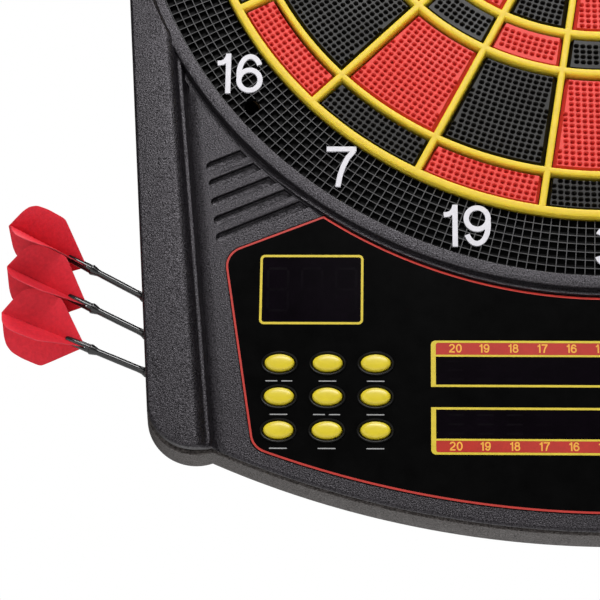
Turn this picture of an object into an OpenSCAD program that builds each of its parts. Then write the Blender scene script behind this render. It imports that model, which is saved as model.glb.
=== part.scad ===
// Electronic dartboard: round soft-tip target in a one-piece front housing,
// control panel below the target, three darts stored in the left side.
// Frame: X to the right, Z up, the wall is the plane y = 0 and the front
// faces -Y. The origin is the bull's-eye axis at the wall plane. Millimetres.
// Depths (names starting with d_) are distances from the wall, so y = -depth.

/* [Housing] */
// Radius of the round upper outline
housing_r = 232.5; // [232:0.5:234]
// Radius of the lower corner lobes
corner_r = 23.5; // [22:0.5:25]
// Sideways position of the lower corner lobes
corner_x = 187; // [186:0.5:189]
// How far the lower corner lobes lie below the bull's-eye
corner_z = 285; // [283:0.5:287]
// Radius of the bowed bottom edge
bottom_r = 452.5; // [450:0.5:455]
// Height of the centre of the bowed bottom edge
bottom_c = 108; // [107:0.5:109]
// Moulded wall thickness
wall = 2.5; // [2.2:0.1:2.8]
// How far the face stands back from the walls behind it
step_in = 1.1; // [0.8:0.1:1.3]

/* [Depths from the wall] */
// Rear rim of the front housing
d_rim = 11.5; // [11:0.5:11.5]
// Front plane of the corner faces
d_face = 34; // [34:0.1:34.4]
// Front plane of the target ring and of the side columns
d_ring = 40.5; // [39.5:0.5:42]
// Front plane of the spider
d_spider = 38.5; // [38:0.1:39]
// Front plane of the scoring segments
d_segment = 36.5; // [36.2:0.1:36.8]
// Front plane of the number ring
d_number = 35; // [35:0.1:35.2]

/* [Target] */
// Centre radius of the outermost wire
wire_double_out = 194.4; // [194:0.1:194.8]
// Centre radius of the inner wire of the double band
wire_double_in = 174.45; // [173:0.05:176]
// Centre radius of the outer wire of the treble band
wire_treble_out = 122.5; // [121:0.1:124]
// Centre radius of the inner wire of the treble band
wire_treble_in = 102.5; // [101:0.1:104]
// Centre radius of the wire around the outer bull
wire_bull_out = 21; // [20:0.1:22]
// Centre radius of the wire around the inner bull
wire_bull_in = 9.5; // [9:0.1:10]
// Width of the outermost wire
wire_w_out = 4.4; // [4:0.1:4.6]
// Width of all other wires
wire_w = 3.3; // [3:0.1:3.6]
// Free play around a segment
segment_gap = 0.4; // [0.35:0.01:0.5]
// Inner edge of the target ring
ring_in = 225; // [224.5:0.1:225.4]

/* [Controls] */
// Half length of a button cap
cap_a = 6.75; // [6.5:0.05:7]
// Half height of a button cap
cap_b = 4; // [3.8:0.05:4.2]
// Sideways pitch of the buttons
button_px = 21.75; // [21:0.05:22]
// Vertical pitch of the buttons
button_pz = 15.8; // [15:0.1:16]
// How far a button can be pushed
button_travel = 1.5; // [1:0.1:1.6]

/* [Darts] */
// Depth of the dart axes from the wall
d_dart = 21; // [20.5:0.5:21.5]
// Radius of the dart barrel
barrel_r = 3.4; // [3:0.1:3.5]
// Half width of a flight
flight_w = 17.3; // [16:0.1:17.4]
// Radius of the stem of a dart shaft
stem_r = 1.65; // [1.6:0.05:1.9]

/* [Wall mount] */
// Sideways distance between the wall screws
mount_dx = 331; // [329:1:333]
// Vertical distance between the wall screws
mount_dz = 276; // [274:1:278]
// Radius of the wall screw holes
mount_r = 2.75; // [2.5:0.05:3]

/* [Hidden] */
$fn = 96;

c_house = [0.27, 0.26, 0.28];
c_black = [0.06, 0.06, 0.065];
c_yellow = [0.92, 0.80, 0.18];
c_red = [0.85, 0.24, 0.20];
c_seg_black = [0.15, 0.145, 0.14];
c_steel = [0.65, 0.65, 0.67];
c_green = [0.10, 0.33, 0.18];

// ---- plane helpers ----------------------------------------------------
// a flat outline in X and Z, filled from depth a to depth b
module slab(a, b) translate([0, -a, 0]) rotate([90, 0, 0]) linear_extrude(height = b - a) children();
// a round rod along Y, from depth a to depth b
module rod(x, z, r, a, b) translate([x, -a, z]) rotate([90, 0, 0]) cylinder(r = r, h = b - a);
// a ring about the bull's-eye axis
module hoop(r1, r2, a, b) difference() {
  rod(0, 0, r2, a, b);
  rod(0, 0, r1, a - 1, b + 1);
}
// a block with its lower left corner at x, z
module block(x, z, w, h, a, b) translate([x, -b, z]) cube([w, b - a, h]);

function unit(v) = v / norm(v);
function left_normal(d) = [-d[1], d[0]];
function meet(p, d, q, e) = p + d * (((q[0] - p[0]) * e[1] - (q[1] - p[1]) * e[0]) / (d[0] * e[1] - d[1] * e[0]));
function ellipse_points(a, b, n = 40) = [for (i = [0:n - 1]) [a * cos(360 * i / n), b * sin(360 * i / n)]];
function polar(r, t) = [r * cos(t), r * sin(t)];

// ---- outline of the housing -------------------------------------------
// the straight sides touch the round top and the corner lobes
side_turn = atan2(-corner_z, corner_x) + acos((housing_r - corner_r) / norm([corner_x, corner_z]));
side_n = [cos(side_turn), sin(side_turn)];
lobe_x = 179.6;

module outline(i = 0) {
  circle(r = housing_r - i, $fn = 240);
  for (s = [-1, 1]) translate([s * corner_x, -corner_z]) circle(r = corner_r - i);
  t = housing_r - i - 0.02;
  l = corner_r - i - 0.02;
  polygon([
    [-t * side_n[0], t * side_n[1]],
    [-corner_x - l * side_n[0], -corner_z + l * side_n[1]],
    [-corner_x, -corner_z], [corner_x, -corner_z],
    [corner_x + l * side_n[0], -corner_z + l * side_n[1]],
    [t * side_n[0], t * side_n[1]]]);
  intersection() {
    translate([0, bottom_c]) circle(r = bottom_r - i, $fn = 240);
    translate([-lobe_x, -370]) square([2 * lobe_x, 170]);
  }
}

// raised side columns: everything outside a slanting inner edge
column_top = [-210.6, -17];
column_low = [-177.9, -330];
module column_zone(shift = 0) {
  for (s = [-1, 1]) polygon([
    [s * -260, column_top[1]], [s * -260, column_low[1] - 30],
    [s * (column_low[0] - shift), column_low[1] - 30],
    [s * (column_low[0] - shift), column_low[1]],
    [s * (column_top[0] - shift), column_top[1]]]);
}
module column(i, shift) intersection() {
  outline(i);
  column_zone(shift);
}

// ---- outline of the control panel -------------------------------------
panel_peak = [-131.4, -193.8];
panel_shoulder = [-166.5, -208];
panel_side_top = [-175.7, -220.4];
panel_side_low = [-163.5, -296.3];
panel_top_r = 234.2;
panel_low_c = 125;
panel_low_r = 460.3;
panel_fillet = 10;
p_dt = unit(panel_shoulder - panel_peak);
p_dl = unit(panel_side_low - panel_side_top);
p_nt = left_normal(p_dt);
p_nl = left_normal(p_dl);
p_f1 = meet(panel_peak + p_nt * panel_fillet, p_dt, panel_side_top + p_nl * panel_fillet, p_dl);
p_base = panel_side_top + p_nl * panel_fillet - [0, panel_low_c];
p_bd = p_base * p_dl;
p_f2 = [0, panel_low_c] + p_base + p_dl * (-p_bd + sqrt(p_bd * p_bd - p_base * p_base + pow(panel_low_r - panel_fillet, 2)));
p_arc = unit(p_f2 - [0, panel_low_c]);
panel_mid = panel_peak - p_dt * 130;

module panel_outline(i = 0) {
  r = panel_fillet - i;
  difference() {
    intersection() {
      translate([0, panel_low_c]) circle(r = panel_low_r - i, $fn = 240);
      union() {
        for (s = [-1, 1]) {
          polygon([for (p = [
            [0, -100], panel_mid + p_nt * i, p_f1 - p_nt * r, p_f1 - p_nl * r,
            p_f2 - p_nl * r, p_f2 + p_arc * r,
            [p_f2[0] + p_arc[0] * r, -400], [0, -400]]) [s * p[0], p[1]]]);
          translate([s * p_f1[0], p_f1[1]]) circle(r = r);
          translate([s * p_f2[0], p_f2[1]]) circle(r = r);
        }
      }
    }
    circle(r = panel_top_r + i, $fn = 240);
  }
}

// ---- depths that follow ------------------------------------------------
d_back = d_face - wall;           // rear side of the face plate
d_step = d_back + 0.1;            // where the walls end and the smaller face begins
d_pocket = d_face - 0.6;          // floor of the panel pocket
d_panel = d_pocket + 0.8;         // front of the panel sheet
d_ring_rear = d_number - 2.5;     // rear side of the number ring
d_mat = 24.5;                     // front of the rubber mat
d_membrane = 23;
d_foam = 22.5;
d_plate = 20.5;                   // front of the backing plate
d_plate_rear = 17.5;
d_cover_in = 14;                  // front of the rear cover's flange
d_spider_rear = 29;
d_board = 25;                     // front of the main board
d_board_rear = 23.4;
d_keypad = 28.2;
d_keypad_rear = 26.6;

// ---- displays -----------------------------------------------------------
// x, z of the lower left corner, width, height
score_box = [-159.5, -246.75, 46.85, 33.25];
cricket_up = [-81.4, -276.3, 162.8, 21.3];
cricket_low = [-81.4, -307.7, 162.8, 21.3];
module round_box(b, r, grow = 0) {
  x = b[0] - grow; z = b[1] - grow; w = b[2] + 2 * grow; h = b[3] + 2 * grow;
  translate([x + r, z]) square([w - 2 * r, h]);
  translate([x, z + r]) square([w, h - 2 * r]);
  for (u = [x + r, x + w - r]) for (v = [z + r, z + h - r]) translate([u, v]) circle(r = r, $fn = 48);
}
function mirrored(b) = [-b[0] - b[2], b[1], b[2], b[3]];

// ---- buttons ------------------------------------------------------------
button_at = [for (k = [0:8]) [-150 + button_px * (k % 3), -265.9 - button_pz * floor(k / 3)]];
start_at = [139.2, -272];
power_at = [117.4, -272];
all_buttons = concat(button_at, [start_at, power_at]);
button_slack = 0.4;
module button_holes(a, b) {
  for (p = all_buttons) slab(a, b) translate(p) polygon(ellipse_points(cap_a + button_slack, cap_b + button_slack));
}

// ---- darts ----------------------------------------------------------------
// entry point on the left wall and slope of each dart
dart_entry = [[-215.6, -228.6], [-214.1, -247], [-213.1, -265.4]];
dart_slope = [28.5, 26.7, 22.8];
sleeve_r = 5;
sleeve_bore = 3.9;
// local +Z runs out of the housing along the dart, local +X points up
module along_dart(k) translate([dart_entry[k][0], -d_dart, dart_entry[k][1]])
  rotate([0, dart_slope[k] - 90, 0]) children();

// ---- fastening points -----------------------------------------------------
ring_boss_r = 217;
ring_boss_turn = [for (k = [0:7]) 22.5 + 45 * k];
plate_boss_r = 204.5;
plate_boss_turn = [for (k = [0:9]) 36 * k];
case_boss = [[-186, -296], [186, -296], [-75, -322], [75, -322], [-192, -190], [192, -190]];
board_boss = [[-90, -257], [90, -257], [-90, -306], [90, -306]];
holder_boss = [[-191.7, -227.6], [-197, -285.6]];
mount_at = [for (sx = [-1, 1]) for (sz = [-1, 1]) [sx * mount_dx / 2, sz * mount_dz / 2]];
inlet_at = [corner_x + corner_r * side_n[0] + 1.6, -corner_z + 20];
d_inlet = 22;

// ---- ventilation grooves in the lower corners -----------------------------
groove_end = [[-183.9, -168.4], [-182.4, -177.1], [-181.2, -186.6], [-179.7, -195.7], [-178.4, -204.2]];
groove_w = 3.3;
groove_slope = 23.5;
module grooves() difference() {
  for (s = [-1, 1]) for (p = groove_end) {
    translate([s * p[0], -d_face - 1, p[1]]) rotate([0, s < 0 ? groove_slope + 180 : -groove_slope, 0]) {
      translate([0, 0, -groove_w / 2]) cube([70, 5, groove_w]);
      translate([0, 5, 0]) rotate([90, 0, 0]) cylinder(d = groove_w, h = 5, $fn = 32);
    }
  }
  rod(0, 0, 233.4, 20, 50);
}

// =============================== pieces ==================================

module front_bezel() color(c_house) difference() {
  union() {
    // side walls
    difference() {
      slab(d_rim, d_face) outline();
      slab(d_rim - 1, d_back) outline(wall);
    }
    // target ring and columns, raised above the corner faces
    difference() {
      union() {
        rod(0, 0, housing_r - 0.5, d_back, d_ring);
        slab(d_back, d_ring) column(0.4, 3);
      }
      slab(d_back - 1, d_ring - wall) difference() {
        column(wall + 0.4, 3 + wall);
        circle(r = housing_r + wall);
      }
    }
    // pads behind the ventilation grooves
    for (s = [-1, 1]) slab(d_back - 3, d_back + 1) intersection() {
      outline(wall + 4);
      difference() {
        polygon([[s * -189, -160], [s * -180, -211], [s * -150, -200], [s * -135, -185], [s * -165, -160]]);
        circle(r = 229);
      }
    }
    // seats for the rear cover
    for (t = [-8, 8, 32, 60, 75, 105, 120, 148, 172, 188]) rotate([0, -t, 0])
      block(226.4, -1.2, housing_r - 1 - 226.4, 2.4, d_cover_in, d_back + 1);
    // screw bosses behind the face
    for (p = case_boss) rod(p[0], p[1], 4, d_cover_in, d_back + 1);
    for (p = board_boss) rod(p[0], p[1], 3.2, d_board, d_back + 1);
    for (p = holder_boss) rod(p[0], p[1], 3.6, 17, d_back + 1);
  }
  // opening for the number ring and the target
  rod(0, 0, ring_in, 0, 60);
  rod(0, 0, 226.3, 0, d_number);
  // pocket and openings of the control panel
  slab(d_pocket, d_face + 1) panel_outline(-0.3);
  for (b = [score_box, mirrored(score_box), cricket_up, cricket_low])
    slab(d_back - 1, d_face) round_box(b, 2.3, 0.3);
  button_holes(d_back - 1, d_face);
  grooves();
  // the face is a little smaller than the walls behind it
  slab(d_step, d_ring + 1) difference() {
    translate([-300, -400]) square([600, 700]);
    outline(step_in);
  }
  // screw holes
  for (p = case_boss) rod(p[0], p[1], 1.4, d_cover_in - 1, 28);
  for (p = board_boss) rod(p[0], p[1], 1.4, d_board - 1, 31);
  for (p = holder_boss) rod(p[0], p[1], 1.4, 16, 28);
  // dart holes in the left wall
  for (k = [0:2]) along_dart(k) translate([0, 0, -13]) cylinder(r = 4.2, h = 30);
  // hole for the power inlet in the right wall
  translate([inlet_at[0], -d_inlet, inlet_at[1]]) rotate([0, 90 - side_turn, 0]) translate([0, 0, -8]) cylinder(r = 4.4, h = 20);
}

module rear_cover() color(c_black) difference() {
  union() {
    slab(0, 2.5) outline(7);
    difference() {
      slab(0, d_cover_in) outline(7);
      slab(-1, d_cover_in + 1) outline(9.5);
    }
    difference() {
      slab(d_rim, d_cover_in) outline(2.8);
      slab(d_rim - 1, d_cover_in + 1) outline(9.5);
    }
    for (t = ring_boss_turn) let (p = polar(ring_boss_r, t)) rod(p[0], p[1], 5, 0, d_cover_in - 0.2);
    for (p = case_boss) rod(p[0], p[1], 5, 0, d_cover_in - 0.2);
    for (p = mount_at) rod(p[0], p[1], 8, 0, 9);
    // stiffening ribs
    for (x = [-90, 90]) block(x - 1, -150, 2, 300, 0, 8);
    for (z = [-90, 0, 90]) block(-150, z - 1, 300, 2, 0, 8);
    // speaker collar
    difference() {
      rod(120, -285, 24, 0, 5);
      rod(120, -285, 21.6, -1, 6);
    }
  }
  for (t = ring_boss_turn) let (p = polar(ring_boss_r, t)) {
    rod(p[0], p[1], 1.6, -1, 20);
    rod(p[0], p[1], 3.3, -1, 8);
  }
  for (p = case_boss) {
    rod(p[0], p[1], 1.6, -1, 20);
    rod(p[0], p[1], 3.3, -1, 8);
  }
  for (p = mount_at) rod(p[0], p[1], mount_r, -1, 20);
  // sound slots behind the speaker
  for (k = [-3:3]) block(120 - sqrt(256 - 25 * k * k) , -285 + 5 * k - 1, 2 * sqrt(256 - 25 * k * k), 2, -1, 3);
}

module number_ring() color(c_black) difference() {
  union() {
    hoop(wire_double_out + wire_w_out / 2 + 0.4, 226, d_ring_rear, d_number);
    for (t = ring_boss_turn) let (p = polar(ring_boss_r, t)) rod(p[0], p[1], 3.6, d_cover_in, d_ring_rear + 0.5);
    for (t = plate_boss_turn) let (p = polar(plate_boss_r, t)) rod(p[0], p[1], 3.4, d_plate, d_ring_rear + 0.5);
  }
  for (t = ring_boss_turn) let (p = polar(ring_boss_r, t)) rod(p[0], p[1], 1.4, d_cover_in - 1, 28);
  for (t = plate_boss_turn) let (p = polar(plate_boss_r, t)) rod(p[0], p[1], 1.4, d_plate - 1, 30);
  for (p = mount_at) rod(p[0], p[1], 3.8, 20, 50);
}

module spider() color(c_yellow) union() {
  difference() {
    rod(0, 0, wire_double_out + wire_w_out / 2, d_spider_rear, d_spider);
    // the openings for the scoring segments
    for (k = [0:19]) for (b = [band_double, band_outer, band_treble, band_inner])
      sector(b[0], b[1], wire_w / 2, k, d_spider_rear - 1, d_spider + 1);
    difference() {
      rod(0, 0, wire_bull_out - wire_w / 2, d_spider_rear - 1, d_spider + 1);
      rod(0, 0, wire_bull_in + wire_w / 2, d_spider_rear - 2, d_spider + 2);
      // fine bridges that carry the wire around the inner bull
      for (k = [0:3]) rotate([0, 45 + 90 * k, 0]) block(5, -0.8, 20, 1.6, d_spider_rear - 2, d_spider_rear + 2);
    }
    rod(0, 0, wire_bull_in - wire_w / 2, d_spider_rear - 1, d_spider + 1);
  }
  // rear skirt and the flange under the number ring
  hoop(wire_double_out - 1, wire_double_out + wire_w_out / 2 - 0.3, d_mat, d_spider_rear + 2);
  hoop(wire_double_out + 1, 200.2, d_spider_rear + 0.4, 31.5);
}

// one segment: r1 to r2 across, k counted clockwise from the top
module sector(r1, r2, side, k, a, b) rotate([0, 18 * k, 0]) intersection() {
  hoop(r1, r2, a, b);
  slab(a, b) polygon([[0, side / sin(9)], [-260 * tan(9), side / sin(9) + 260], [260 * tan(9), side / sin(9) + 260]]);
}
module segment(r1, r2, k) {
  g = segment_gap;
  s = wire_w / 2 + g;
  sector(r1 + g, r2 - g, s, k, 27, d_segment);
  sector(r1 + g - 1, r2 - g + 1, s - 1, k, 26.2, d_spider_rear - 0.4);
}
band_double = [wire_double_in + wire_w / 2, wire_double_out - wire_w_out / 2];
band_outer = [wire_treble_out + wire_w / 2, wire_double_in - wire_w / 2];
band_treble = [wire_treble_in + wire_w / 2, wire_treble_out - wire_w / 2];
band_inner = [wire_bull_out + wire_w / 2, wire_treble_in - wire_w / 2];
module segments(band, first) for (k = [first:2:19]) segment(band[0], band[1], k);

module double_red() color(c_red) segments(band_double, 1);
module double_black() color(c_seg_black) segments(band_double, 0);
module outer_single_red() color(c_red) segments(band_outer, 0);
module outer_single_black() color(c_seg_black) segments(band_outer, 1);
module treble_red() color(c_red) segments(band_treble, 1);
module treble_black() color(c_seg_black) segments(band_treble, 0);
module inner_single_red() color(c_red) segments(band_inner, 0);
module inner_single_black() color(c_seg_black) segments(band_inner, 1);

module outer_bull() color(c_seg_black) difference() {
  hoop(wire_bull_in + wire_w / 2 + segment_gap, wire_bull_out - wire_w / 2 - segment_gap, 26.2, d_segment);
  // room for the bridges of the spider over the whole travel
  for (k = [0:3]) rotate([0, 45 + 90 * k, 0]) block(5, -1.4, 20, 2.8, 20, 32.8);
}
module inner_bull() color(c_red) union() {
  rod(0, 0, wire_bull_in - wire_w / 2 - segment_gap, 27, d_segment);
  rod(0, 0, wire_bull_in - wire_w / 2 - segment_gap + 1, 26.2, d_spider_rear - 0.4);
}

module rubber_mat() color([0.1, 0.1, 0.1]) rod(0, 0, 199, d_membrane, d_mat);
module membrane_matrix() color([0.55, 0.6, 0.55]) union() {
  rod(0, 0, 199, d_foam, d_membrane);
  block(-20, -204, 40, 20, d_foam, d_membrane);
}
module foam_pad() color([0.3, 0.3, 0.32]) rod(0, 0, 199, d_plate, d_foam);
module backing_plate() color([0.5, 0.42, 0.3]) difference() {
  rod(0, 0, 209.5, d_plate_rear, d_plate);
  for (t = plate_boss_turn) let (p = polar(plate_boss_r, t)) rod(p[0], p[1], 1.6, 0, 30);
}

module control_panel() color(c_black) difference() {
  slab(d_pocket, d_panel) panel_outline();
  for (b = [score_box, mirrored(score_box), cricket_up, cricket_low])
    slab(d_pocket - 1, d_panel + 1) round_box(b, 2, 0.1);
  button_holes(d_pocket - 1, d_panel + 1);
}

// display: lens in the panel opening, flange and circuit board behind the face
module display(b) union() {
  slab(d_back - 2, d_panel) round_box(b, 2);
  slab(27.6, d_back) round_box(b, 2, 2);
  slab(27, 28) round_box(b, 2, 2);
}
module score_display_left() color([0.05, 0.04, 0.06]) display(score_box);
module score_display_right() color([0.05, 0.04, 0.06]) display(mirrored(score_box));
module cricket_display_upper() color([0.05, 0.04, 0.06]) display(cricket_up);
module cricket_display_lower() color([0.05, 0.04, 0.06]) display(cricket_low);

module button_collars() color(c_black) for (p = all_buttons) slab(d_panel, d_panel + 1.2) translate(p) difference() {
  polygon(ellipse_points(8.5, 5.75));
  polygon(ellipse_points(cap_a + button_slack, cap_b + button_slack));
}

module button(p) {
  slab(30.2, d_panel + 2.2) translate(p) polygon(ellipse_points(cap_a, cap_b));
  slab(d_panel + 2.1, d_panel + 2.8) translate(p) polygon(ellipse_points(cap_a - 1.2, cap_b - 1.1));
  slab(30.2, d_back - 0.3) translate(p) polygon(ellipse_points(cap_a + 1.4, cap_b + 1.3));
}
module button_1() color(c_yellow) button(button_at[0]);
module button_2() color(c_yellow) button(button_at[1]);
module button_3() color(c_yellow) button(button_at[2]);
module button_4() color(c_yellow) button(button_at[3]);
module button_5() color(c_yellow) button(button_at[4]);
module button_6() color(c_yellow) button(button_at[5]);
module button_7() color(c_yellow) button(button_at[6]);
module button_8() color(c_yellow) button(button_at[7]);
module button_9() color(c_yellow) button(button_at[8]);
module start_button() color(c_yellow) button(start_at);
module power_button() color(c_yellow) button(power_at);

module keypad_left() color(c_green) block(-161, -305, 64.5, 46.5, d_keypad_rear, d_keypad);
module keypad_right() color(c_green) block(104, -280, 50, 16, d_keypad_rear, d_keypad);

module main_board() color(c_green) difference() {
  union() {
    block(-95, -312, 190, 62, d_board_rear, d_board);
    // headers up to the cricket displays
    for (x = [-60, 40]) for (z = [-268, -300]) block(x, z, 20, 5, d_board, 27);
    // sockets for the flat cables of the keypads
    for (s = [-1, 1]) block(s * 88.5 - 3.5, -280, 7, 10, d_board, 26.2);
    // socket for the ribbon cable
    block(-24, -272, 48, 10, 20.5, d_board_rear);
    // processor, capacitors and wire sockets
    block(-14, -300, 28, 16, 21.9, d_board_rear);
    rod(50, -270, 5, 12.5, d_board_rear);
    rod(62, -270, 4, 14, d_board_rear);
    block(85, -274, 10, 8, 19, d_board_rear);
    block(84, -294, 9, 8, 19, d_board_rear);
  }
  for (p = board_boss) rod(p[0], p[1], 1.6, 10, 30);
}

module speaker() color([0.2, 0.2, 0.2]) union() {
  rod(120, -285, 21.2, 2.6, 4.6);
  rod(120, -285, 19, 4.6, 9);
  rod(120, -285, 11, 9, 15);
  block(85, -292, 18, 4, 9, 11);
  block(101, -292, 8, 4, 5, 11);
}

// socket for the outside power adaptor, its mouth flush with the right wall
module power_inlet() color(c_black) translate([inlet_at[0], -d_inlet, inlet_at[1]]) rotate([0, 90 - side_turn, 0]) {
  difference() {
    union() {
      translate([0, 0, -4]) cylinder(r = 4.2, h = 4.6);
      translate([-5, -5, -16]) cube([10, 10, 12]);
    }
    translate([0, 0, -10]) cylinder(r = 2.75, h = 20);
  }
  translate([0, 0, -11]) cylinder(r = 1, h = 10.5, $fn = 32);
}

module dart_holder() color(c_black) difference() {
  union() {
    intersection() {
      for (k = [0:2]) along_dart(k) translate([0, 0, -78]) cylinder(r = sleeve_r, h = 84);
      slab(0, 60) outline(wall + 0.3);
    }
    // strap behind the sleeves with a screw ear at each end
    let (a = holder_boss[0], b = holder_boss[1], v = b - a)
      translate([a[0], -17, a[1]]) rotate([0, atan2(-v[1], v[0]), 0]) block(-4, -4.5, norm(v) + 8, 9, -2.4, 0);
    for (k = [0:1]) along_dart(k) translate([-15, 1, -66]) cube([16, 3, 6]);
  }
  for (k = [0:2]) along_dart(k) translate([0, 0, -75.6]) cylinder(r = sleeve_bore, h = 100);
  for (p = holder_boss) rod(p[0], p[1], 1.6, 10, 20);
}

// ---- dart: tip, barrel, shaft and flight ----------------------------------
module dart_tip(k) color([0.1, 0.1, 0.1]) along_dart(k) rotate_extrude($fn = 48)
  polygon([[0, -75.2], [0.5, -75.2], [0.9, -73], [1.1, -52], [1.7, -50.5], [1.7, -50], [1.2, -50], [1.2, -45], [0, -45]]);
module dart_barrel(k) color([0.72, 0.55, 0.25]) along_dart(k) rotate_extrude($fn = 48)
  polygon(concat(
    [[1.3, -44.5], [1.3, -50], [2.2, -50], [barrel_r, -46]],
    [for (i = [0:8]) each [[barrel_r, -40 + 3 * i], [barrel_r - 0.35, -39.6 + 3 * i], [barrel_r - 0.35, -38.6 + 3 * i], [barrel_r, -38.2 + 3 * i]]],
    [[barrel_r, -9], [2.8, -5], [1.6, -5], [1.6, -12.5], [0, -12.5], [0, -44.5]]));
// Turn of the four wings of each flight about its dart, as the darts were put in
wing_turn = [[44, 103, 235, 300], [36, 114, 222, 290], [33, 123, 213, 290]];
core_turn = [18.5, 15, 18.5];
function core(r, k) = [for (i = [0:7]) polar(r, 45 * i + core_turn[k])];
module dart_shaft(k) color([0.03, 0.03, 0.03]) along_dart(k) difference() {
  rotate_extrude($fn = 48) polygon([
    [0, -12], [1.5, -12], [1.5, -5], [2.5, -5], [2.5, -1], [stem_r, 0.5], [stem_r, 24],
    [2.5, 26.8], [2.5, 27.4], [2.15, 27.6], [1.85, 39.4], [1.5, 40], [0, 40]]);
  translate([0, 0, 29.3]) linear_extrude(height = 20) polygon(core(1, k));
  for (t = wing_turn[k]) rotate([0, 0, -t]) translate([0.1, -0.4, 29.6]) cube([5, 0.8, 20]);
}
module dart_flight(k) color([0.8, 0.1, 0.15]) along_dart(k) {
  translate([0, 0, 30.1]) linear_extrude(height = 43.2) polygon(core(0.65, k));
  for (t = wing_turn[k]) rotate([0, 0, -t]) rotate([90, 0, 0]) translate([0, 0, -0.25]) linear_extrude(height = 0.5)
    polygon([[0.1, 30.8], [1, 30.5], [flight_w - 0.7, 46.8], [flight_w, 48.6], [flight_w, 58], [flight_w - 0.9, 63.2], [flight_w - 3.3, 66.6], [flight_w - 6.9, 68.9], [0.1, 72.9]]);
}
module dart_1_tip() dart_tip(0);
module dart_1_barrel() dart_barrel(0);
module dart_1_shaft() dart_shaft(0);
module dart_1_flight() dart_flight(0);
module dart_2_tip() dart_tip(1);
module dart_2_barrel() dart_barrel(1);
module dart_2_shaft() dart_shaft(1);
module dart_2_flight() dart_flight(1);
module dart_3_tip() dart_tip(2);
module dart_3_barrel() dart_barrel(2);
module dart_3_shaft() dart_shaft(2);
module dart_3_flight() dart_flight(2);

// ---- fasteners and cables ---------------------------------------------------
// pan-head screw driven towards the front
module screw(p, head, depth, length) {
  rod(p[0], p[1], head, depth - 1.6, depth);
  rod(p[0], p[1], 1.35, depth - 0.2, depth + length);
}
module cover_screws() color(c_steel) {
  for (t = ring_boss_turn) screw(polar(ring_boss_r, t), 2.8, 8, 17);
  for (p = case_boss) screw(p, 2.8, 8, 17);
}
module plate_screws() color(c_steel) for (t = plate_boss_turn) screw(polar(plate_boss_r, t), 2.8, d_plate_rear, 11);
module board_screws() color(c_steel) {
  for (p = board_boss) screw(p, 2.6, d_board_rear, 6.5);
  for (p = holder_boss) screw(p, 2.6, 14.6, 10);
}
module ribbon_cable() color([0.75, 0.75, 0.7]) block(-20, -262, 40, 58, d_foam, d_membrane);
module flat_cables() color([0.85, 0.85, 0.8]) for (s = [-1, 1]) {
  // score display to main board
  slab(25, 25.4) polygon([for (p = [[-125, -238], [-125, -244], [-94, -244], [-94, -254], [-88, -254], [-88, -238]]) [s * p[0], p[1]]]);
  slab(25.4, 27) polygon([for (p = [[-125, -238], [-125, -244], [-118, -244], [-118, -238]]) [s * p[0], p[1]]]);
  // keypad to main board
  slab(26.2, d_keypad_rear) polygon([for (p = [[-112, -278], [-112, -272], [-86, -272], [-86, -278]]) [s * p[0], p[1]]]);
}
module lead_wires() color([0.6, 0.1, 0.1]) {
  translate([95, -21.2, -270]) rotate([0, 90, 0]) cylinder(r = 1.1, h = inlet_at[0] - 95 - 16.6, $fn = 32);
  rod(88.5, -290, 1.1, 11, 19);
}

front_bezel();
rear_cover();
number_ring();
spider();
rubber_mat();
membrane_matrix();
foam_pad();
backing_plate();
control_panel();
score_display_left();
score_display_right();
cricket_display_upper();
cricket_display_lower();
button_collars();
button_1();
button_2();
button_3();
button_4();
button_5();
button_6();
button_7();
button_8();
button_9();
start_button();
power_button();
keypad_left();
keypad_right();
main_board();
speaker();
power_inlet();
dart_holder();
dart_1_tip();
dart_1_barrel();
dart_1_shaft();
dart_1_flight();
dart_2_tip();
dart_2_barrel();
dart_2_shaft();
dart_2_flight();
dart_3_tip();
dart_3_barrel();
dart_3_shaft();
dart_3_flight();
double_red();
double_black();
outer_single_red();
outer_single_black();
treble_red();
treble_black();
inner_single_red();
inner_single_black();
outer_bull();
inner_bull();
cover_screws();
plate_screws();
board_screws();
ribbon_cable();
flat_cables();
lead_wires();
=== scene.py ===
import math

import bmesh
import bpy
import numpy as np
from mathutils import Matrix, Vector
from mathutils.geometry import delaunay_2d_cdt


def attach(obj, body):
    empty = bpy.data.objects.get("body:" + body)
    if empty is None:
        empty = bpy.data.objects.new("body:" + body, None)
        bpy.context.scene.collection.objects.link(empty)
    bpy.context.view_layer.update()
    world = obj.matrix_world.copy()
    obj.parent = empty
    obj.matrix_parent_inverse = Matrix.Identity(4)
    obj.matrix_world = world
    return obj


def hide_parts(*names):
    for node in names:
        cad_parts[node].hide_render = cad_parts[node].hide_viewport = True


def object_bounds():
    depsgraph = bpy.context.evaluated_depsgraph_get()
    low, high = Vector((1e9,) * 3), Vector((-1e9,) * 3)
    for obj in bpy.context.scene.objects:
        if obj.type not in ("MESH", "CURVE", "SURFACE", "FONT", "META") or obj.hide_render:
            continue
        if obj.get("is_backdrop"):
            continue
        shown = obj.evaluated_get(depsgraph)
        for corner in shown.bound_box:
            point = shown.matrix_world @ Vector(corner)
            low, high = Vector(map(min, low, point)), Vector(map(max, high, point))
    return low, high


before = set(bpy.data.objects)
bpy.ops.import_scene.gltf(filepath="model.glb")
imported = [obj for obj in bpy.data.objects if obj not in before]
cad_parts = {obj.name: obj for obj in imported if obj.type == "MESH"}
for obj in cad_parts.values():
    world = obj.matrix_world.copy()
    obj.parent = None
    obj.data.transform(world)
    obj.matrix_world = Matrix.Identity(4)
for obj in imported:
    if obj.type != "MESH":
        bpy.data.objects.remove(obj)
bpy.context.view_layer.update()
scene = bpy.context.scene

# ------------------------------------------------------------------ materials


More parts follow.
